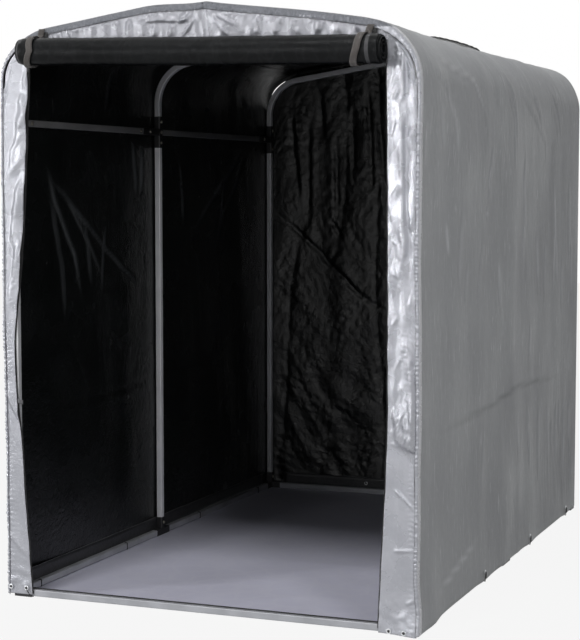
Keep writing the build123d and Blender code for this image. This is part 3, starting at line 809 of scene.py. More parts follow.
def painted_fold_light(down, y):
    """Painted highlights along the folds of the side walls, up to 1, and painted shade in the packing crease,
    below 0.
    """
    z = EAVE_START - (np.abs(down) - SLOPE - EAVE_LENGTH)
    marks = np.zeros(down.shape)
    for lines, there, width in ((RIGHT_FOLDS, down > 0, 0.0085), (LEFT_FOLDS, down < 0, 0.0100)):
        for number, line in enumerate(lines):
            share = 0.65 + 0.25 * pick_number(number, 8)
            marks = np.maximum(marks, there * fold_line(y, z, line, width, share))
    return marks - fold_line(y, z, PACKING_CREASE, 0.010, 0.55)


def roof_folds(down, y):
    """Height of the wrinkles that run from the ridge to the eave on the slopes."""
    far = np.abs(down)
    on_slope = 1 - step(far, SLOPE * 0.95, SLOPE + EAVE_LENGTH * 0.8)
    hand = np.where(down < 0, 1, 0)
    long = ripple(y / 0.16 + 3 * hand, far / 0.7, 21)
    short = ripple(y / 0.045 + far * 1.2 + 9 * hand, far / 0.25, 22)
    return on_slope * (0.0035 * long + 0.0006 * short)


def seam_crimp(along_seam, away, seed, wave=0.017):
    """Small sharp crimps where a seam gathers the sheet, fading away from it."""
    lead = along_seam / wave + 0.7 * ripple(along_seam / 0.09, away / 0.05, seed + 1)
    saw = np.abs(2 * (lead - np.floor(lead)) - 1)
    strength = np.clip(0.55 + ripple(along_seam / 0.12, 0.5, seed + 2), 0, 1)
    return saw * strength * np.exp(-(away / 0.022) ** 2)


def hem_lift(y):
    """Height of the hem: it scallops up between the elastic loops and hangs lowest at the front."""
    away = np.min(np.abs(y[..., None] - np.array(SIDE_LOOPS)), axis=-1)
    front = 1 - step(y, FRONT, FRONT + 0.25)
    return HEM_SCALLOP * step(away, 0.0, 0.14) + 0.003 * step(y, -0.3, 1.2) - HEM_DROP - 0.0025 * front


def cover_surface(down, t, crimped=0.0):
    """Outer face of the cover for a grid of places on it, and the length along the cloth."""
    x, z, out_x, out_z = outline(down)
    corner = SIDE_CORNER + (ROOF_CORNER - SIDE_CORNER) * (1 - step(np.abs(down), SLOPE, SLOPE + EAVE_LENGTH))
    inside, y, share, facing, cloth = wrap(t, seam_inset(down), corner)
    x = x - out_x * (inside + SHEET_IN)
    z = z - out_z * (inside + SHEET_IN)
    y = y + np.where(t < 2.5, -SEAM_STAND, SEAM_STAND) * (1 - share)
    free = free_span(y, down)
    far = np.abs(down)
    sag = SAG_HIGH + SAG_LOW * step(far, BAR_DOWN, BAR_DOWN + 0.2)
    move = wall_folds(down, y) + roof_folds(down, y) - sag * free
    from_corner = np.clip(np.minimum(y - FRONT, BACK - y), 0, None)
    move = move * step(from_corner, 0.010, 0.14)
    move = np.maximum(move, -0.0001 - 0.03 * free) + roof_swell(down, y)
    crimp = crimped * (1 - step(t, 1.2, 2.0)) * step(t, 0.0, 0.4)
    x = x + out_x * (move * (0.25 + 0.75 * np.maximum(share, step(far, 0, SLOPE))) + crimp * share)
    z = z + out_z * (move + crimp * share)
    y = y + facing * crimp
    x = x + corner_swell(x, y, z)
    y = y - corner_kick(x, z) * (1 - step(y, FRONT + 0.01, FRONT + 0.10))
    z = z + step(far, REACH - 0.18, REACH) * hem_lift(y) * np.where(down < 0, 0.4, 1.0)
    return np.stack([x, y, z], axis=-1), cloth


def spaced(stops):
    """Places from stop to stop, with the cell size that each stop gives for the stretch after it."""
    places = [stops[0][0]]
    for (low, cell), (high, _) in zip(stops[:-1], stops[1:]):
        places.extend(np.linspace(low, high, max(int(round((high - low) / cell)), 1) + 1)[1:])
    return np.array(places)


def cover_panel(name, low, high, cell, depth_cell, replaced):
    """One panel of the cover, between two places down from the ridge, over its whole depth."""
    down = spaced([(low, cell), (high, 0)])
    t = spaced([(1.95, 0.05), (2, depth_cell / (BACK - FRONT)), (3, 0.2), (4, 0.34), (5, 0)])
    grid_down, grid_t = np.meshgrid(down, t)
    points, cloth = cover_surface(grid_down, grid_t)
    flat = np.stack([grid_down, cloth], axis=-1)
    piece = sheet_mesh(name, points, flat, [SILVER, BLACK_LINING], painted_fold_light(grid_down, points[..., 1]))
    thicken(piece)
    fix_piece(piece, name, replaced)


def main_cover():
    """Both walls with their rounded eaves, and the roof between them."""
    cover_panel("cover_left_wall", -REACH, -SLOPE, 0.0125, 0.0100, ("left_side_panel",))
    cover_panel("cover_roof", -SLOPE, SLOPE, 0.0200, 0.0100, ("left_roof_panel", "right_roof_panel"))
    cover_panel("cover_right_wall", SLOPE, REACH, 0.0168, 0.0067, ("right_side_panel",))


def corner_strip():
    """Crimped strip of the cover that turns in round the front corner to the seam."""
    down = spaced([(-REACH, 0.0045), (REACH, 0)])
    t = spaced([(0, 0.2), (1, 0.1), (2, 0.01), (2.01, 0)])
    grid_down, grid_t = np.meshgrid(down, t)
    away = np.abs(grid_t - 0.9) * 0.014
    wave = seam_crimp(np.abs(grid_down) + 0.3 * (grid_down > 0), away, 41, 0.014)
    wave = wave + 0.6 * seam_crimp(np.abs(grid_down) + 0.7 * (grid_down > 0), away, 44, 0.031)
    crimps = 0.0066 * wave + 0.0016 * facets(grid_down / 0.012, grid_t, 45)
    points, cloth = cover_surface(grid_down, grid_t, crimps)
    out_x, out_z = outline(grid_down)[2:]
    lift = 0.0004 * step(grid_t, 1.0, 1.6)
    points = points + np.stack([out_x * lift, 0 * lift, out_z * lift], axis=-1)
    piece = sheet_mesh("corner_strip", points, np.stack([grid_down, cloth], axis=-1),
                       [SILVER_CRUSHED, BLACK_LINING, SHADED_ROOF_EDGE, BLACK_LINING])
    # Faces on the roof get the darker copy of the silver coat: painted shade.
    for polygon in piece.data.polygons:
        polygon.material_index = 2 if polygon.center.z > EAVE_START + 0.92 * EAVE_RADIUS else 0
    thicken(piece, 0.0008)
    fix_piece(piece, "corner_strip")


# Front of the cover: header and both flaps

# Free edge of each flap, as (height, place across), read from the photo
LEFT_EDGE = (
    (0.004, -0.6975), (0.36, -0.7175), (0.62, -0.7290), (0.73, -0.7380), (0.88, -0.7440), (1.00, -0.7400),
    (1.17, -0.7240), (1.46, -0.7075), (1.68, -0.7000), (1.91, -0.6900), (2.10, -0.6900))
RIGHT_EDGE = (
    (0.004, 0.6420), (0.22, 0.6515), (0.46, 0.6645), (0.70, 0.6735), (1.10, 0.6725), (1.46, 0.6700),
    (1.90, 0.6660), (2.10, 0.6660))
FRONT_HEM = 0.0010
LEFT_HEM = 0.0100
HEADER_CELLS = 30


def edge_place(side, z):
    """Free edge of a flap at a height."""
    points = np.array(LEFT_EDGE if side < 0 else RIGHT_EDGE)
    soft = 0
    for shift in (0.0, 0.03, -0.03, 0.06, -0.06):
        soft = soft + np.interp(z + shift, points[:, 0], points[:, 1]) / 5
    return soft + 0.0012 * ripple(z / 0.09, side, 51)


def outline_height(x, inset):
    """Height of the line that runs a given distance inside the outline, over a place across."""
    centre = HALF_WIDTH - EAVE_RADIUS
    radius = EAVE_RADIUS - inset
    far = np.minimum(np.abs(x), centre + radius - 0.00001)
    slope = RIDGE - inset / math.cos(PITCH) - far * math.tan(PITCH)
    arc = EAVE_START + np.sqrt(np.clip(radius ** 2 - (far - centre) ** 2, 0, None))
    on_slope = far < centre + radius * math.sin(PITCH)
    turn = np.arcsin(np.clip((far - centre) / radius, math.sin(PITCH), 1))
    down = np.where(on_slope, far / math.cos(PITCH), SLOPE + EAVE_RADIUS * (turn - PITCH))
    return np.where(on_slope, slope, arc) + roof_swell(np.sign(x) * down, FRONT) * np.cos(turn)


def crushed_folds(x, z, seam, header):
    """Crinkles all over the front sheets, and crimps along their seam."""
    crushed = np.where(x > 0, step(z, 0.60, 0.72), step(z, 0.95, 1.35))
    flap = 1 - header
    patchy = np.clip(0.5 + 1.2 * ripple(x / 0.06, z / 0.11, 60), 0, 1)
    folds = facets(x / 0.016, z / 0.020, 61) * (0.0002 + 0.0009 * patchy * np.maximum(crushed, header))
    folds += facets(x / 0.035, z / 0.085, 64) * (0.0004 + 0.0026 * crushed * flap + 0.0032 * header)
    folds += facets(x / 0.080, z / 0.20, 62) * (0.0022 + 0.0030 * crushed * flap)
    folds += 0.0036 * seam_crimp(np.where(z > EAVE_START, x, z), np.clip(seam, 0, None), 63)
    corner = step(z, 1.90, 1.96) * step(np.abs(x), 0.66, 0.70)
    folds += corner * (0.007 * facets(x / 0.034, z / 0.042, 71) + 0.002 * facets(x / 0.014, z / 0.016, 72))
    low = (1 - step(z, 0.05, 0.16)) * flap
    return folds + low * 0.0040 * facets(x / 0.045, z / 0.045, 70)


def right_flap_folds(x, z):
    """Two upright folds that rise slowly and fall steeply, ended by a ledge, with creases across them."""
    start, peak, foot = (np.interp(z, TALL_FOLD[:, 0], TALL_FOLD[:, row]) for row in (1, 2, 3))
    wave = 0.0012 * ripple(z / 0.05, 0.0, 68)
    rise = np.clip((x - start - wave) / (peak - start), 0, 1)
    rise = rise - np.clip((x - peak - wave) / (foot - peak), 0, 1)
    ledge = 0.632 - 0.25 * (x - 0.70)
    tall = step(z, ledge, ledge + 0.030) * (1 - step(z, 1.90, 1.99))
    second = np.clip((x - foot) / 0.030, 0, 1) * (0.0020 + 0.0075 * step(z, 1.12, 1.30))
    folds = tall * ((0.35 + 0.08 * ripple(z / 0.13, x / 0.09, 69)) * (peak - start) * rise + second)
    bulge = np.exp(-(((x - 0.722) / 0.030) ** 2 + ((z - 0.70) / 0.060) ** 2))
    folds += 0.006 * bulge * tall
    crumple = step(z, ledge, ledge + 0.02) * (1 - step(z, 0.72, 0.80))
    folds += crumple * (0.006 * facets(x / 0.036, z / 0.050, 66) + 0.20 * (x - 0.69))
    for number, line in enumerate(RIGHT_CREASES):
        folds += fold_line(x, z, line, 0.0055, 0.0060, 0.8 * pick_number(number, 6))
    return folds


def left_flap_folds(x, z):
    """Lobes that slant down from the zip's top, one sharp diagonal and one low crease."""
    folds = fold_line(x, z, LEFT_DIAGONAL, 0.007, 0.012, 0.7) + fold_line(x, z, LEFT_LOW, 0.006, 0.005, 0.5)
    for line in LEFT_LOBES:
        folds += fold_line(x, z, line, 0.012, 0.0120, 0.9)
    return folds


def header_folds(x, z, header):
    """Lobes above the roll, a level fold under the seam, and a valley, a swell and a fan at the ridge."""
    level = fold_line(x, z, HEADER_LEVEL, 0.006, 0.0090, 0.9)
    valley = 0.009 * np.exp(-((x + 0.006 - 0.15 * (RIDGE - z)) / 0.006) ** 2)
    swell = 0.010 * np.exp(-((x - 0.07) / 0.045) ** 2)
    spread = fan(x, z, (0.0, RIDGE - 0.02), (-150, -128, -72, -46, -28), 0.16, 0.006, 0.007, 65)
    folds = header * (level - valley + swell + spread)
    for place, lean in HEADER_LOBES:
        lobe = ((place + lean, DOOR_TOP + 0.02), (place, DOOR_TOP + 0.06), (place - lean, DOOR_TOP + 0.105))
        folds += fold_line(x, z, lobe, 0.013, 0.0100, 0.5)
    return folds


def front_folds(x, z):
    """Height of the folds on the front sheets, outward, in metres."""
    seam = outline_height(x, ROOF_INSET) - z
    side_seam = HALF_WIDTH - SIDE_INSET - np.abs(x)
    seam = np.where(np.abs(x) > HALF_WIDTH - EAVE_RADIUS, np.minimum(seam, side_seam), seam)
    header = step(z, DOOR_TOP - 0.02, DOOR_TOP + 0.05)
    folds = crushed_folds(x, z, seam, header) + (x > 0) * right_flap_folds(x, z)
    folds = folds + left_flap_folds(x, z) + header_folds(x, z, header)
    return folds * step(seam, 0.0, 0.010)


# Rows of height, start, peak and foot of the tall fold on the right flap
TALL_FOLD = np.array((
    (0.734, 0.695, 0.768, 0.776), (0.760, 0.6995, 0.7628, 0.7736), (0.822, 0.7104, 0.7562, 0.7705),
    (0.866, 0.7169, 0.7540, 0.7690), (0.911, 0.7010, 0.7512, 0.7665), (0.993, 0.7018, 0.7437, 0.7642),
    (1.074, 0.7014, 0.7401, 0.7610), (1.167, 0.7034, 0.7330, 0.7573), (1.206, 0.7085, 0.7165, 0.7530),
    (1.233, 0.7000, 0.7149, 0.7495), (1.283, 0.6880, 0.7351, 0.7490), (1.333, 0.6746, 0.7330, 0.7498),
    (1.410, 0.6727, 0.7251, 0.7427), (1.531, 0.6720, 0.7258, 0.7360), (1.662, 0.6710, 0.7237, 0.7355),
    (1.757, 0.6705, 0.7142, 0.7350), (1.780, 0.6705, 0.7141, 0.7350), (1.810, 0.6705, 0.7249, 0.7345),
    (1.930, 0.6710, 0.7244, 0.7340)))
RIGHT_CREASES = (
    ((0.718, 1.84), (0.714, 1.833), (0.683, 1.788)), ((0.700, 1.885), (0.696, 1.876), (0.679, 1.82)),
    ((0.706, 1.73), (0.680, 1.66)), ((0.715, 1.52), (0.680, 1.47)), ((0.71, 1.31), (0.685, 1.335)),
    ((0.715, 1.20), (0.69, 1.225)), ((0.71, 1.08), (0.685, 1.05)), ((0.76, 1.72), (0.742, 1.66)),
    ((0.764, 1.42), (0.744, 1.36)), ((0.762, 1.16), (0.745, 1.10)), ((0.762, 0.95), (0.742, 0.90)),
    ((0.72, 0.95), (0.690, 0.88)), ((0.690, 0.78), (0.712, 0.70)), ((0.745, 0.76), (0.735, 0.68)),
    ((0.69, 0.285), (0.775, 0.287)), ((0.735, 0.10), (0.785, 0.135)), ((0.69, 0.50), (0.78, 0.42)))
LEFT_DIAGONAL = ((-0.795, 0.80), (-0.760, 0.73), (-0.725, 0.63))
LEFT_LOW = ((-0.79, 0.25), (-0.70, 0.14))
HEADER_LEVEL = ((-0.24, 2.083), (-0.13, 2.080), (-0.02, 2.075))
LEFT_LOBES = (
    ((-0.690, 1.99), (-0.712, 1.86), (-0.745, 1.70)), ((-0.700, 1.84), (-0.735, 1.68), (-0.764, 1.50)),
    ((-0.712, 1.60), (-0.735, 1.45), (-0.758, 1.25)), ((-0.770, 1.84), (-0.745, 1.93), (-0.730, 1.99)),
    ((-0.720, 1.36), (-0.745, 1.22), (-0.765, 1.05)))
HEADER_LOBES = (
    (-0.560, 0.006), (-0.499, -0.004), (-0.427, 0.003), (-0.380, -0.006), (-0.325, 0.004),
    (-0.282, 0.002), (-0.232, -0.005), (-0.180, 0.004), (-0.120, -0.003), (0.20, 0.006), (0.275, -0.008),
    (0.35, 0.005), (0.43, -0.004), (0.50, 0.006), (0.57, -0.006))


def front_sheets():
    """Header and both flaps round the doorway, lapped under the turned-in edge of the main sheet."""
    side_x = HALF_WIDTH - LAP
    left_top = float(edge_place(-1, np.array(DOOR_TOP)))
    right_top = float(edge_place(1, np.array(DOOR_TOP)))
    rows = int((DOOR_TOP - FRONT_HEM) / FINE_CELL)
    flap_rows = np.linspace(0, 1, rows + 1)
    header_rows = np.linspace(0, 1, HEADER_CELLS + 1)

    def column(place_at, hem=FRONT_HEM):
        """One upright column from hem to seam, for a rule that gives x by height."""
        top_z = float(outline_height(place_at(np.array(DOOR_TOP)), ROOF_INSET - LAP))
        split = min(DOOR_TOP, top_z - 0.020)
        z = np.concatenate([hem + flap_rows * (split - hem),
                            split + header_rows[1:] * (top_z - split)])
        return np.stack([place_at(np.minimum(z, split)), z], axis=-1)

    def columns(rules, hem=FRONT_HEM):
        return np.stack([column(rule, hem) for rule in rules], axis=1)

    left = columns([lambda z, s=share: -side_x + s * (edge_place(-1, z) + side_x)
                    for share in np.linspace(0, 1, 20)], LEFT_HEM)
    header_columns = int((right_top - left_top) / FINE_CELL)
    header = columns([lambda z, p=place: z * 0 + p
                      for place in np.linspace(left_top, right_top, header_columns)])[rows:]
    right = columns([lambda z, s=share: side_x + s * (edge_place(1, z) - side_x)
                     for share in np.linspace(1, 0, 27)])
    height = float(outline_height(np.array(left_top), ROOF_INSET)) - FRONT_HEM
    made = (("left_flap", left, "left_door_flap", (side_x + left_top, height)),
            ("header", header, "front_header", (right_top - left_top, RIDGE - ROOF_INSET - DOOR_TOP)),
            ("right_flap", right, "right_door_flap", (side_x - right_top, height)))
    for name, grid, replaced, flat in made:
        x, z = grid[..., 0], grid[..., 1]
        y = FRONT - 0.0002 - front_folds(x, z)
        y = np.minimum(y, FRONT + 0.0004) - corner_kick(x, z)
        points = np.stack([x + corner_swell(x, y, z) + eave_swell(x, z), y, z], axis=-1)
        # The header gets the darker copy of the silver: painted shade.
        coat = SHADED_HEADER_COAT if name == "header" else SILVER_CRUSHED
        piece = sheet_mesh(name, points, grid, [coat, BLACK_LINING])
        thicken(piece, 0.0009)
        fix_piece(piece, name, (replaced,))


def seam_points(inset, out, y):
    """Points along the outline, a distance inside it, from the left hem over the ridge to the right hem."""
    down = spaced([(-REACH + 0.004, 0.012), (REACH - 0.004, 0)])
    x, z, out_x, out_z = outline(down)
    inside = seam_inset(down) + inset
    swell = roof_swell(down, y)
    x = x - out_x * (inside - swell)
    z = z - out_z * (inside - swell)
    x = x + corner_swell(x, x * 0 + y, z)
    z = z + step(np.abs(down), REACH - 0.18, REACH) * (FRONT_HEM - HEM)
    return np.stack([x, y + out - corner_kick(x, z), z], axis=-1)


def front_piping():
    """Thin gathered piping in the seam between the front and the main sheet."""
    points = seam_points(0.0012, -0.0016, FRONT)
    travel = np.arange(len(points)) * 0.012
    points[:, 1] -= 0.0012 * np.abs(ripple(travel / 0.03, 0.0, 77))
    piece = wire("front_piping", points, 0.0015, SEAM_EDGE)
    fix_piece(piece, "front_piping")


def back_sheet():
    """Back wall, lapped inside the turned-in edge of the main sheet."""
    across = np.linspace(-1, 1, 150)
    up = np.linspace(0, 1, 190)
    side_x = HALF_WIDTH - LAP
    grid_across, grid_up = np.meshgrid(across, up)
    x = grid_across * side_x
    top = outline_height(x, ROOF_INSET - LAP)
    z = HEM + grid_up * (top - HEM)
    edge = np.clip(np.minimum(side_x - LAP - np.abs(x), top - LAP - z), 0, None)
    folds = 0.006 * ripple(x / 0.15 + 0.4 * ripple(z / 0.5, x / 0.4, 71), z / 1.1, 72)
    folds += 0.008 * crease(x / 0.19 + 0.1 * z, z / 1.3, 73, 8)
    folds += 0.004 * facets(x / 0.13, z / 0.20, 74)
    folds += 0.0022 * facets(x / 0.05, z / 0.07, 76)
    for number, line in enumerate(BACK_FOLDS):
        folds += fold_line(x, z, line, 0.010, 0.011, 0.8 * pick_number(number, 9))
    bow = 0.014 * step(edge, 0.0, 0.30) * step(z, 0.03, 0.3)
    puckers = 0.003 * seam_crimp(np.where(z > EAVE_START, x, z), edge, 75, 0.024)
    y = BACK - 0.0011 + (folds + bow) * step(edge, 0.0, 0.06) + puckers
    y = np.maximum(y, BACK - SEAM_STAND)
    points = np.stack([x, y, z], axis=-1)[:, ::-1]
    piece = sheet_mesh("back_sheet", points, np.stack([z, x], axis=-1)[:, ::-1], [SILVER, BLACK_LINING])
    thicken(piece, 0.0009)
    fix_piece(piece, "back_sheet", ("rear_panel",))


# Hems, eyelets and elastic loops

HEM_LOW = 0.020
HEM_HIGH = 0.078
HEM_EDGE = 0.0009
EYELET_HEIGHT = 0.036
LOOP_HALF = 0.007
LOOP_KNOT = 0.005
LOOP_UNDER = 0.0030
LOOP_IN = 0.014
LOOP_CORD = 0.0016
HOOK_CORD = 0.0019
FLAP_EYELETS = ((-0.788, 0.035), (-0.722, 0.035), (0.682, 0.0105), (0.739, 0.0115))
INNER_EYELET = (-0.258, BACK - 0.0045, 0.050)


def hem_bands():
    """Hem turned up on the inside of both walls and of the back, with a pale wire along its fold edge: a
    painted highlight.
    """
    middle = (HEM_LOW + HEM_HIGH) / 2
    half = (HEM_HIGH - HEM_LOW) / 2
    inner_x = HALF_WIDTH - SHEET_IN - SHEET - 0.0020
    inner_y = BACK - 0.0022
    depth = spaced([(-1.16, 0.03), (1.16, 0)])
    width = spaced([(-0.70, 0.03), (0.70, 0)])
    wave = middle + 0.0015 * ripple(depth / 0.12, 0.0, 83)
    back_wave = middle + 0.0015 * ripple(width / 0.12, 0.0, 84)
    hems = ((points_at(-inner_x, depth, wave)[::-1], (0.0006, 0, half), 0.0003),
            (points_at(inner_x, depth, wave), (-0.0006, 0, half), 0.0003),
            (points_at(width, inner_y, back_wave), (0, -0.0006, half), 0.0004))
    bands = []
    edge_highlights = []
    for path, to_edge, thickness in hems:
        bands.append(band("hem_band", path, (0, 0, 1), 2 * half, [HEM_BAND], thickness))
        # Painted highlight: a pale wire along the hem's fold edge.
        edge_highlights.append(wire("hem_edge_highlight", path + to_edge, HEM_EDGE, GREY_TAB_AND_HEM_HIGHLIGHT))
    fix_piece(join_pieces(bands), "hem_bands")
    fix_piece(join_pieces(edge_highlights), "hem_edge_highlights")


def eyelet():
    """Pressed metal eyelet with a black disc in its hole as painted shade, facing -Y at the origin."""
    rim = ring(0.0070, 0.0024, (28, 10), (0, 0, 0), (1, 1, 0.7))
    paint(rim, EYELET_METAL)
    bpy.ops.object.shade_smooth()
    # Painted shade: a black disc fills the hole.
    hole = disc(0.0056, 0.0012, (0, 0, 0), (math.pi / 2, 0, 0))
    round_edges(hole, 0.0003, 2)
    paint(hole, ELASTIC_AND_HOLE_SHADE)
    joined = join_pieces([rim, hole])
    bpy.ops.object.transform_apply(location=True, rotation=True, scale=True)
    return joined


def eyelets():
    """Eyelets along the hem of the front flaps, both walls and the back."""
    places = []
    for x, z in FLAP_EYELETS:
        forward = float(front_folds(np.array(x), np.array(z)) + corner_kick(np.array(x), np.array(z)))
        places.append(((x, FRONT - 0.0036 - forward, z), (0, 0, 0)))
    for y in SIDE_LOOPS:
        for side in (-1, 1):
            places.append(((side * (HALF_WIDTH + 0.0010), y, EYELET_HEIGHT), (0, 0, side * math.pi / 2)))
    for x in BACK_LOOPS:
        places.append(((x, BACK + 0.0012, EYELET_HEIGHT), (0, 0, math.pi)))
    places.append((INNER_EYELET, (0, 0, 0)))
    fix_piece(copy_to(eyelet(), places), "eyelets")


def side_loop(side, y):
    """Elastic from an eyelet of a wall down under the base rail and up again."""
    out = HALF_WIDTH + 0.0030
    top = (side * (out + 0.0003), 0.037)
    down = [(side * (out + 0.0006), y - LOOP_HALF, z) for z in (0.026, 0.014)]
    under = [(side * (out - LOOP_IN * math.sin(turn / 2)), y - LOOP_HALF * math.cos(turn), LOOP_UNDER)
             for turn in np.linspace(0, math.pi, 9)]
    up = [(side * (out + 0.0006), y + LOOP_HALF, z) for z in (0.014, 0.026)]
    ends = [(top[0], y + knot, top[1]) for knot in (-LOOP_KNOT, LOOP_KNOT)]
    return wire("loop", [ends[0]] + down + under + up + [ends[1]], LOOP_CORD, ELASTIC_AND_HOLE_SHADE)


def rail_hook(side, y):
    """Hook of a loop, up the inner face of the base rail and over its top."""
    inner = RAIL_FACE - 0.0022
    steps = ((0.004, LOOP_UNDER), (0.0, 0.006), (0.0, 0.026), (0.001, RAIL_TOP + 0.0012),
             (0.006, RAIL_TOP + 0.0024), (0.013, RAIL_TOP + 0.0022))
    return wire("hook", [(side * (inner + out), y, z) for out, z in steps], HOOK_CORD, ELASTIC_AND_HOLE_SHADE)


def back_loop(x):
    """Elastic from an eyelet of the back down under the rear rail and up again."""
    out = BACK + 0.0026
    down = [(x - LOOP_KNOT, out, 0.037), (x - LOOP_HALF, out, 0.026), (x - LOOP_HALF, out, 0.012)]
    under = [(x - LOOP_HALF * math.cos(turn), out - LOOP_IN * math.sin(turn), LOOP_UNDER)
             for turn in np.linspace(0, math.pi, 9)]
    up = [(x + LOOP_HALF, out, 0.012), (x + LOOP_HALF, out, 0.026), (x + LOOP_KNOT, out, 0.037)]
    return wire("loop", down + under + up, LOOP_CORD, ELASTIC_AND_HOLE_SHADE)


def elastic_loops():
    """Black elastic from each eyelet down round the base rail, and a short end at the left flap."""
    loops = []
    for y in SIDE_LOOPS:
        for side in (-1, 1):
            loops.append(side_loop(side, y))
            loops.append(rail_hook(side, y))
    end = [(-0.722, FRONT - 0.006, 0.034), (-0.716, FRONT - 0.0075, 0.024), (-0.708, FRONT - 0.006, 0.012),
           (-0.696, FRONT + 0.002, 0.004)]
    loops.append(wire("loop_end", end, HOOK_CORD, ELASTIC_AND_HOLE_SHADE))
    for x in BACK_LOOPS:
        loops.append(back_loop(x))
    fix_piece(join_pieces(loops), "elastic_loops")


# Ground sheet

GROUND_INSET = 0.0020
GROUND_LIFT = 0.0028


def ground_sheet():
    """Ground sheet inside the base frame, with faint folds from packing."""
    x, y = np.meshgrid(np.linspace(FLOOR_LOW.x + GROUND_INSET, FLOOR_HIGH.x - GROUND_INSET, 80),
                       np.linspace(FLOOR_LOW.y + GROUND_INSET, FLOOR_HIGH.y - GROUND_INSET, 120))
    inside = np.minimum(FLOOR_HIGH.x - np.abs(x), FLOOR_HIGH.y - np.abs(y))
    lift = 0.0012 * ripple(x / 0.4, y / 0.5, 81) + 0.0016 * crease(x / 0.5, y / 0.6, 82, 14)
    lift = lift + pull_line(x, y, (-0.7, -0.35), (0.7, -0.33), 0.004, 0.0016)
    lift = lift + pull_line(x, y, (0.02, -1.15), (0.03, 1.15), 0.004, 0.0014)
    z = GROUND_LIFT + np.clip(lift, -0.0012, 0.004) * step(inside, 0.03, 0.10)
    piece = sheet_mesh("ground_sheet", np.stack([x, y, z], axis=-1), np.stack([x, y], axis=-1), [GROUND_COAT])
    thicken(piece, 0.0012)
    fix_piece(piece, "ground_sheet", ("floor_sheet",))


# Rolled-up door curtain and its straps

ROLL_CENTRE = Vector((0, (ROLL_LOW.y + ROLL_HIGH.y) / 2, (ROLL_LOW.z + ROLL_HIGH.z) / 2))
ROLL_RADIUS = (ROLL_HIGH.z - ROLL_LOW.z) / 2 + 0.002
ROLL_LEFT = ROLL_LOW.x + 0.024
ROLL_RIGHT = ROLL_HIGH.x - 0.027
ROLL_CORE = 0.013
ROLL_TURNS = 9.4
ROLL_STEPS = 44
ROLL_COLUMNS = 52
ROLL_SAG = 0.003
ROLL_DROP = 0.007
ROLL_TILT = 0.028
STRAP_BITE = 0.0028
STRAP_STAND = 0.0014
STRAP_TAIL = 0.030
STRAP_WIDTH = 0.025
LEFT_STRAP = STRAP_LOW.x + STRAP_WIDTH / 2
RIGHT_STRAP = STRAP_HIGH.x - STRAP_WIDTH / 2 - 0.022
LEFT_SHIFTS = (-0.010, 0.018, 0.006, 0.013)
RIGHT_SHIFTS = (-0.034, -0.012, -0.004, 0.0055)
DOOR_LENGTH = 1.95


def roll_height(x):
    """Height of the roll's middle: it hangs lower on the right, where its strap is longer."""
    return ROLL_CENTRE.z - ROLL_DROP - ROLL_TILT * (x - ROLL_LEFT) / (ROLL_RIGHT - ROLL_LEFT)


def rolled_curtain():
    """The door sheet wound into a long roll that sags a little and is loose at its ends."""
    turns = np.linspace(0, 1, int(ROLL_TURNS * ROLL_STEPS))
    length = ROLL_RIGHT - ROLL_LEFT
    ends = 0.5 - 0.5 * np.cos(np.linspace(0, math.pi, ROLL_COLUMNS))
    share, x_share = np.meshgrid(turns, ends)
    angle = share * ROLL_TURNS * 2 * math.pi
    radius = ROLL_CORE + (ROLL_RADIUS - 0.0010 - ROLL_CORE) * share
    x = ROLL_LEFT + length * x_share
    end = np.minimum(x_share, 1 - x_share) * length
    radius = radius * (1 + 0.030 * ripple(x / 0.21, np.cos(angle) * 0.8 + 2.5, 91) * share)
    radius += 0.0010 * facets(x / 0.05, angle * 0.6, 92) * share
    for place in (LEFT_STRAP + 0.010, RIGHT_STRAP - 0.023):
        radius = radius - STRAP_BITE * share * np.exp(-((x - place) / 0.022) ** 2)
    radius = radius - 0.006 * share * (1 - step(x - ROLL_LEFT, 0.0, 0.030)) ** 2
    x = x + 0.006 * np.sin(angle * 0.31) * (1 - step(end, 0.0, 0.05))
    start = math.radians(100)
    y = ROLL_CENTRE.y + radius * np.cos(angle + start)
    z = roll_height(x) + radius * np.sin(angle + start) - ROLL_SAG * np.sin(math.pi * x_share)
    y = np.minimum(y, FRONT - 0.0060)
    piece = sheet_mesh("rolled_curtain", np.stack([x, y, z], axis=-1),
                       np.stack([x, share * DOOR_LENGTH], axis=-1), [ROLLED_COAT, ROLL_EDGE])
    apply_modifier(piece, "SOLIDIFY", thickness=0.0011, offset=-1, use_even_offset=False)
    for polygon in piece.data.polygons:
        from_left = polygon.center.x - ROLL_LEFT
        from_right = ROLL_RIGHT - polygon.center.x
        polygon.material_index = 1 if 0.003 < from_left < 0.012 or 0.030 < from_right < 0.040 else 0
    fix_piece(piece, "rolled_curtain", ("rolled_door",))


def door_strap(name, x, shifts):
    """Flat strap round the roll with its end up on the header; the four shifts lean it as it goes up."""
    low, middle, high, top = shifts
    radius = ROLL_RADIUS + STRAP_STAND
    centre = roll_height(x)
    path = [(x, FRONT - 0.0085, centre + radius + lift) for lift in np.linspace(STRAP_TAIL, 0.004, 5)]
    for angle in np.linspace(1.05, 2 * math.pi - 0.35, 54):
        path.append((x, ROLL_CENTRE.y + radius * math.cos(angle), centre + radius * math.sin(angle)))
    path = np.array(path)
    height = path[:, 2] - centre
    before = np.interp(height, (-radius, 0.0, radius, radius + STRAP_TAIL), (low, middle, high, top))
    behind = np.interp(height, (-radius, radius), (low, high))
    path[:, 0] += np.where(path[:, 1] < ROLL_CENTRE.y, before, behind)
    path[:5, 0] = x + np.linspace(top, high, 5)
    piece = band(name, path, (1, 0, 0), STRAP_WIDTH, [STRAP], 0.0014)
    fix_piece(piece, name)
    backing = np.array([(x + top + 0.014, FRONT - 0.0060, z)
                        for z in np.linspace(centre + radius + 0.018, centre + radius - 0.012, 6)])
    return band("strap_backing", backing, (1, 0, 0), 0.014, [BLACK_TAPE], 0.0012)


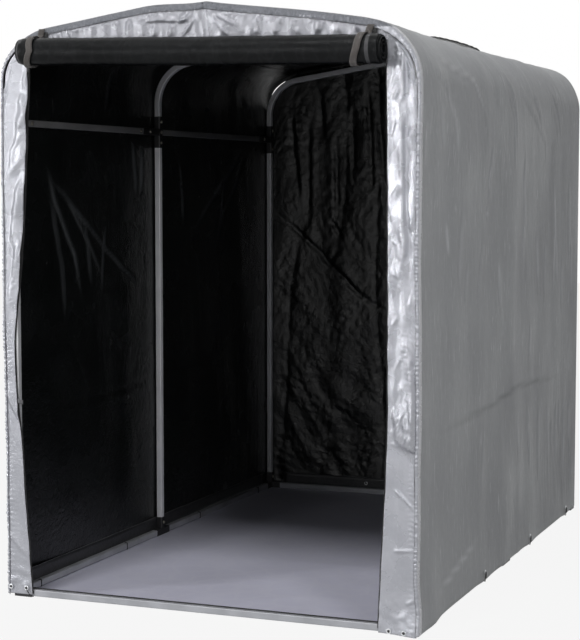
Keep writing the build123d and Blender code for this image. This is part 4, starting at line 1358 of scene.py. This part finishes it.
def door_straps():
    """Both straps, and the black loop behind each that it is sewn to."""
    left = door_strap("door_strap_left", LEFT_STRAP, LEFT_SHIFTS)
    right = door_strap("door_strap_right", RIGHT_STRAP, RIGHT_SHIFTS)
    fix_piece(join_pieces([left, right]), "strap_backings", ("door_straps",))


# Zips

ZIP_LOW = 0.014
ZIP_HIGH = 1.945
TAPE_WIDTH = 0.011
TOOTH = (0.0030, 0.0016, 0.0013)
TOOTH_PITCH = 0.0040
SLIDER_BODY = (0.011, 0.007, 0.015)
SLIDER_HEIGHT = 1.925
TAB_HEIGHT = 0.728


def zip_teeth(places):
    """Small plain teeth, one at each place, in one piece."""
    tooth = block(TOOTH)
    shape = np.array([v.co[:] for v in tooth.data.vertices])
    faces = np.array([p.vertices[:] for p in tooth.data.polygons])
    bpy.data.objects.remove(tooth)
    points = np.concatenate([shape + place for place in places])
    quads = np.concatenate([faces + number * len(shape) for number in range(len(places))])
    mesh = bpy.data.meshes.new("zip_teeth")
    mesh.from_pydata(points.tolist(), [], quads.tolist())
    mesh.materials.append(MOULDED)
    piece = bpy.data.objects.new("zip_teeth", mesh)
    bpy.context.scene.collection.objects.link(piece)
    fix_piece(piece, "zip_teeth")


def zip_tapes():
    """Black tape with teeth along the free edge of both flaps."""
    tapes = []
    teeth = []
    for side in (-1, 1):
        z = spaced([(ZIP_LOW, 0.012), (ZIP_HIGH, 0)])
        x = edge_place(side, z) + side * 0.0015
        x = x + corner_swell(x, x * 0 + FRONT, z)
        path = points_at(x, FRONT + 0.0036, z)
        tapes.append(band("zip_tape", path, (1, 0, 0), TAPE_WIDTH, [BLACK_TAPE], 0.0008))
        fine = spaced([(0.016, TOOTH_PITCH), (1.940, 0)])
        rim = np.interp(fine, z, x) - side * 0.0062
        teeth += [(float(a), FRONT + 0.0031, float(b)) for a, b in zip(rim, fine)]
    fix_piece(join_pieces(tapes), "zip_tape_pair", ("zip_tapes",))
    zip_teeth(teeth)


def zip_slider(place):
    """Slider at the top of a zip with its pull ring hanging down."""
    body = block(SLIDER_BODY)
    round_edges(body, 0.0018, 3)
    pull = ring(0.0052, 0.0013, (20, 8), (0, -0.005, -0.012), (0.8, 1.9, 1))
    slider = join_pieces([body, pull])
    bpy.ops.object.shade_smooth_by_angle(angle=math.radians(40))
    paint(slider, MOULDED)
    slider.location = place
    return slider


def zip_sliders():
    """Slider of each zip, parked at the top of the doorway."""
    made = []
    for side in (-1, 1):
        x = float(edge_place(side, np.array(SLIDER_HEIGHT))) - side * 0.004
        made.append(zip_slider((x, FRONT - 0.0050, SLIDER_HEIGHT)))
    fix_piece(join_pieces(made), "zip_sliders")


def flap_tab():
    """Small plain tab sewn on the left flap's edge."""
    x = float(edge_place(-1, np.array(TAB_HEIGHT)))
    path = [(x - 0.012 + s * 0.022, FRONT - 0.0030 - 0.003 * math.sin(3 * s), TAB_HEIGHT - 0.004 * s)
            for s in np.linspace(0, 1, 8)]
    fix_piece(band("flap_tab", path, (0, 0, 1), 0.016, [GREY_TAB_AND_HEM_HIGHLIGHT], 0.0010), "flap_tab")


# Roof vents

def roof_point(down, y, lift):
    """Point above the roof sheet, a lift off it."""
    x, z, out_x, out_z = outline(down)
    off = roof_swell(down, y) + lift
    return np.stack([x + out_x * off, y, z + out_z * off], axis=-1)


VENT_ROOT = 0.36
VENT_RIM = 0.545
VENT_WIDTH = VENT_RIM - VENT_ROOT
VENT_RISE = 0.019
VENT_ARCH = 0.012
VENT_BINDING = 0.0022


def vent_lift(t):
    """Height of the hood's rim above the roof, from one end to the other."""
    return VENT_RISE * np.clip(np.sin(math.pi * t), 0, None) ** 0.45


def vent_hood(side, hand):
    """Hood from its root on the slope out to its raised rim; gives back the binding of the rim."""
    t, k = np.meshgrid(np.linspace(0, 1, 60), np.linspace(0, 1, 14))
    y = (2 * t - 1) * (VENT_HALF * (0.86 + 0.14 * k))
    down = side * (VENT_ROOT + VENT_WIDTH * k + VENT_ARCH * np.sin(math.pi * t) * k)
    lift = 0.0018 + vent_lift(t) * k ** 0.8 + 0.0012 * facets(y / 0.06, k / 0.5, 95 + side) * k
    points = roof_point(down, y, lift)[:, ::-side]
    flat = np.stack([y, k * VENT_WIDTH], axis=-1)[:, ::-side]
    name = f"vent_hood_{hand}"
    piece = sheet_mesh(name, points, flat, [SILVER, BLACK_LINING])
    thicken(piece)
    fix_piece(piece, name, ("roof_vents",) if side > 0 else ())
    return wire("rim", points[-1], VENT_BINDING, BLACK_TAPE)


def vent_lining(side, hand):
    """Pale crumpled lining that closes the opening under the hood's rim."""
    t, m = np.meshgrid(np.linspace(0.03, 0.97, 70), np.linspace(0, 1, 9))
    y = (2 * t - 1) * VENT_HALF
    out = VENT_ARCH * np.sin(math.pi * t) - 0.0045 + 0.0016 * facets(y / 0.05, m * 0.8, 97 + side)
    down = side * (VENT_RIM + out * (0.4 + 0.6 * m))
    lift = 0.0022 + (vent_lift(t) * 0.93 - 0.002) * m
    points = roof_point(down, y, np.clip(lift, 0.002, None))[:, ::-side]
    name = f"vent_lining_{hand}"
    piece = sheet_mesh(name, points, np.stack([y, m * VENT_RISE], axis=-1), [PALE_LINING])
    thicken(piece, 0.0008)
    fix_piece(piece, name)


def roof_vents():
    """Arched hood over a vent on each slope, with a bound rim and a pale crumpled lining."""
    rims = []
    for side, hand in ((-1, "left"), (1, "right")):
        rims.append(vent_hood(side, hand))
        vent_lining(side, hand)
    fix_piece(join_pieces(rims), "vent_rims")


# Bolts

BOLT_RISE = 0.044
BOLT_REACH = 0.105
SLEEVE_END = 0.187
FOOT_BOLT = 0.055


def bolt():
    """Low round bolt head on a washer, facing +X at the origin."""
    turn = (0, math.pi / 2, 0)
    washer = disc(0.0078, 0.0012, (0, 0, 0), turn)
    head = disc(0.0058, 0.0036, (0.0021, 0, 0), turn)
    round_edges(head, 0.0013, 3)
    joined = join_pieces([washer, head])
    bpy.ops.object.transform_apply(location=True, rotation=True, scale=True)
    bpy.ops.object.shade_smooth_by_angle(angle=math.radians(35))
    paint(joined, BOLT_STEEL)
    return joined


def bolts():
    """Bolt heads on the inner faces of the cross joints, the feet and the middle side bars."""
    places = []
    face = SLEEVE_FACE - 0.0004
    front, middle, rear = HOOPS
    for side in (-1, 1):
        turn = (0, 0, 0) if side < 0 else (0, 0, math.pi)
        for hoop in HOOPS:
            for height in (BAR_HEIGHT - BOLT_RISE, BAR_HEIGHT + BOLT_RISE, FOOT_BOLT):
                places.append(((side * face, hoop, height), turn))
        for y in (front + BOLT_REACH, middle - BOLT_REACH, middle, rear - BOLT_REACH):
            places.append(((side * face, y, BAR_HEIGHT), turn))
        places.append(((side * (POST_FACE - 0.0004), middle - SLEEVE_END, BAR_HEIGHT), turn))
    fix_piece(copy_to(bolt(), places), "bolts")


# Camera, light and floor

CAMERA_PLACE = (2.4506, -6.6096, 1.5071)
CAMERA_DOWN = 4.475
CAMERA_TURN = 21.638
SENSOR = 36
FOCAL_LENGTH = 95.46
AMBIENT = 0.09
FLOOR_GREY = 0.35
FLOOR_GLOW = 0.9
# Place, aim, size, power and spread in degrees of each lamp
LAMPS = {
    "key_light": ((-4.6, -4.6, 2.0), (0, -1.2, 1.1), (0.9, 2.4), 101, 180),
    "top_light": ((-1.2, -12.0, 18.0), (0, -1.0, 0.2), (5.5, 5.5), 1450, 180),
    "right_fill": ((4.6, -5.4, 2.8), (0.8, 0, 1.1), (1.5, 1.5), 84, 180),
    "roll_light": ((-1.6, -5.8, 2.2), (0.3, -1.3, 2.0), (0.5, 0.25), 14, 180),
    "flap_light": ((-3.2, -4.6, 2.0), (0.74, -1.24, 1.45), (0.35, 1.0), 0.76, 16),
}


def set_camera():
    """Camera at the photograph's viewing angle."""
    data = bpy.data.cameras.new("camera")
    data.sensor_width = SENSOR
    data.lens = FOCAL_LENGTH
    camera = bpy.data.objects.new("camera", data)
    camera.location = CAMERA_PLACE
    camera.rotation_euler = (math.radians(90 - CAMERA_DOWN), 0, math.radians(CAMERA_TURN))
    bpy.context.scene.collection.objects.link(camera)
    bpy.context.scene.camera = camera


def area_light(name, place, aim, size, power, spread):
    """Soft lamp aimed at a point, with the angle that it spreads over."""
    data = bpy.data.lights.new(name, "AREA")
    data.shape = "RECTANGLE"
    data.size, data.size_y = size
    data.energy = power
    data.spread = math.radians(spread)
    lamp = bpy.data.objects.new(name, data)
    lamp.location = place
    lamp.rotation_euler = (Vector(aim) - Vector(place)).to_track_quat("-Z", "Y").to_euler()
    bpy.context.scene.collection.objects.link(lamp)


def set_world():
    """Even soft light, with a white background for the camera and for reflections."""
    world = bpy.data.worlds.new("studio")
    bpy.context.scene.world = world
    world.use_nodes = True
    tree = world.node_tree
    paths = add_node(tree, "ShaderNodeLightPath").outputs
    seen = calc(tree, "MAXIMUM", paths["Is Camera Ray"], paths["Is Transmission Ray"])
    seen = calc(tree, "MAXIMUM", seen, paths["Is Glossy Ray"])
    ambient = tree.nodes["Background"]
    ambient.inputs["Color"].default_value = (1, 1, 1, 1)
    tree.links.new(spread_value(tree, seen, AMBIENT, 1.0), ambient.inputs["Strength"])


def set_floor():
    """Plain pale floor that keeps the shelter's shadow."""
    start_clean()
    bpy.ops.mesh.primitive_plane_add(size=40, location=(0, 0, -0.0008))
    floor = bpy.context.object
    floor.name = "studio_floor"
    material, tree, shader = new_material("studio_floor", Roughness=0.9, Specular_IOR_Level=0.1)
    shader.inputs["Base Color"].default_value = (FLOOR_GREY, FLOOR_GREY, FLOOR_GREY, 1)
    paths = add_node(tree, "ShaderNodeLightPath").outputs
    glow = add_node(tree, "ShaderNodeEmission", {"Color": (1, 1, 1, 1), "Strength": 1.0}).outputs[0]
    seen = calc(tree, "MAXIMUM", paths["Is Camera Ray"], paths["Is Glossy Ray"])
    share = calc(tree, "MULTIPLY", seen, FLOOR_GLOW)
    mixed = add_node(tree, "ShaderNodeMixShader", {0: share, 1: shader.outputs[0], 2: glow}).outputs[0]
    tree.links.new(mixed, tree.nodes["Material Output"].inputs["Surface"])
    floor.data.materials.append(material)


def dress_frame():
    """Materials of the tubes, bars and joints that keep their own shape; the base rails and sill get a darker
    copy of the tubes' aluminium, painted shade.
    """
    for name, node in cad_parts.items():
        if name.endswith(("joints", "feet")) or name == "sill_edge_strip":
            material = MOULDED
        elif name.endswith("side_bar"):
            material = DARK_BAR
        elif name.endswith(("base_rail", "sill")):
            # Painted shade: a darker copy of the tubes' aluminium.
            material = SHADED_BASE_ALUMINIUM
        else:
            material = ALUMINIUM
        paint(node, material)
        pick(node)
        bpy.ops.object.shade_smooth_by_angle(angle=math.radians(30))


bpy.context.scene.view_settings.view_transform = "Standard"
set_camera()
dress_frame()
main_cover()
corner_strip()
front_sheets()
front_piping()
back_sheet()
hem_bands()
eyelets()
elastic_loops()
ground_sheet()
rolled_curtain()
door_straps()
zip_tapes()
zip_sliders()
flap_tab()
roof_vents()
bolts()
set_world()
set_floor()
for lamp_name, settings in LAMPS.items():
    area_light(lamp_name, *settings)
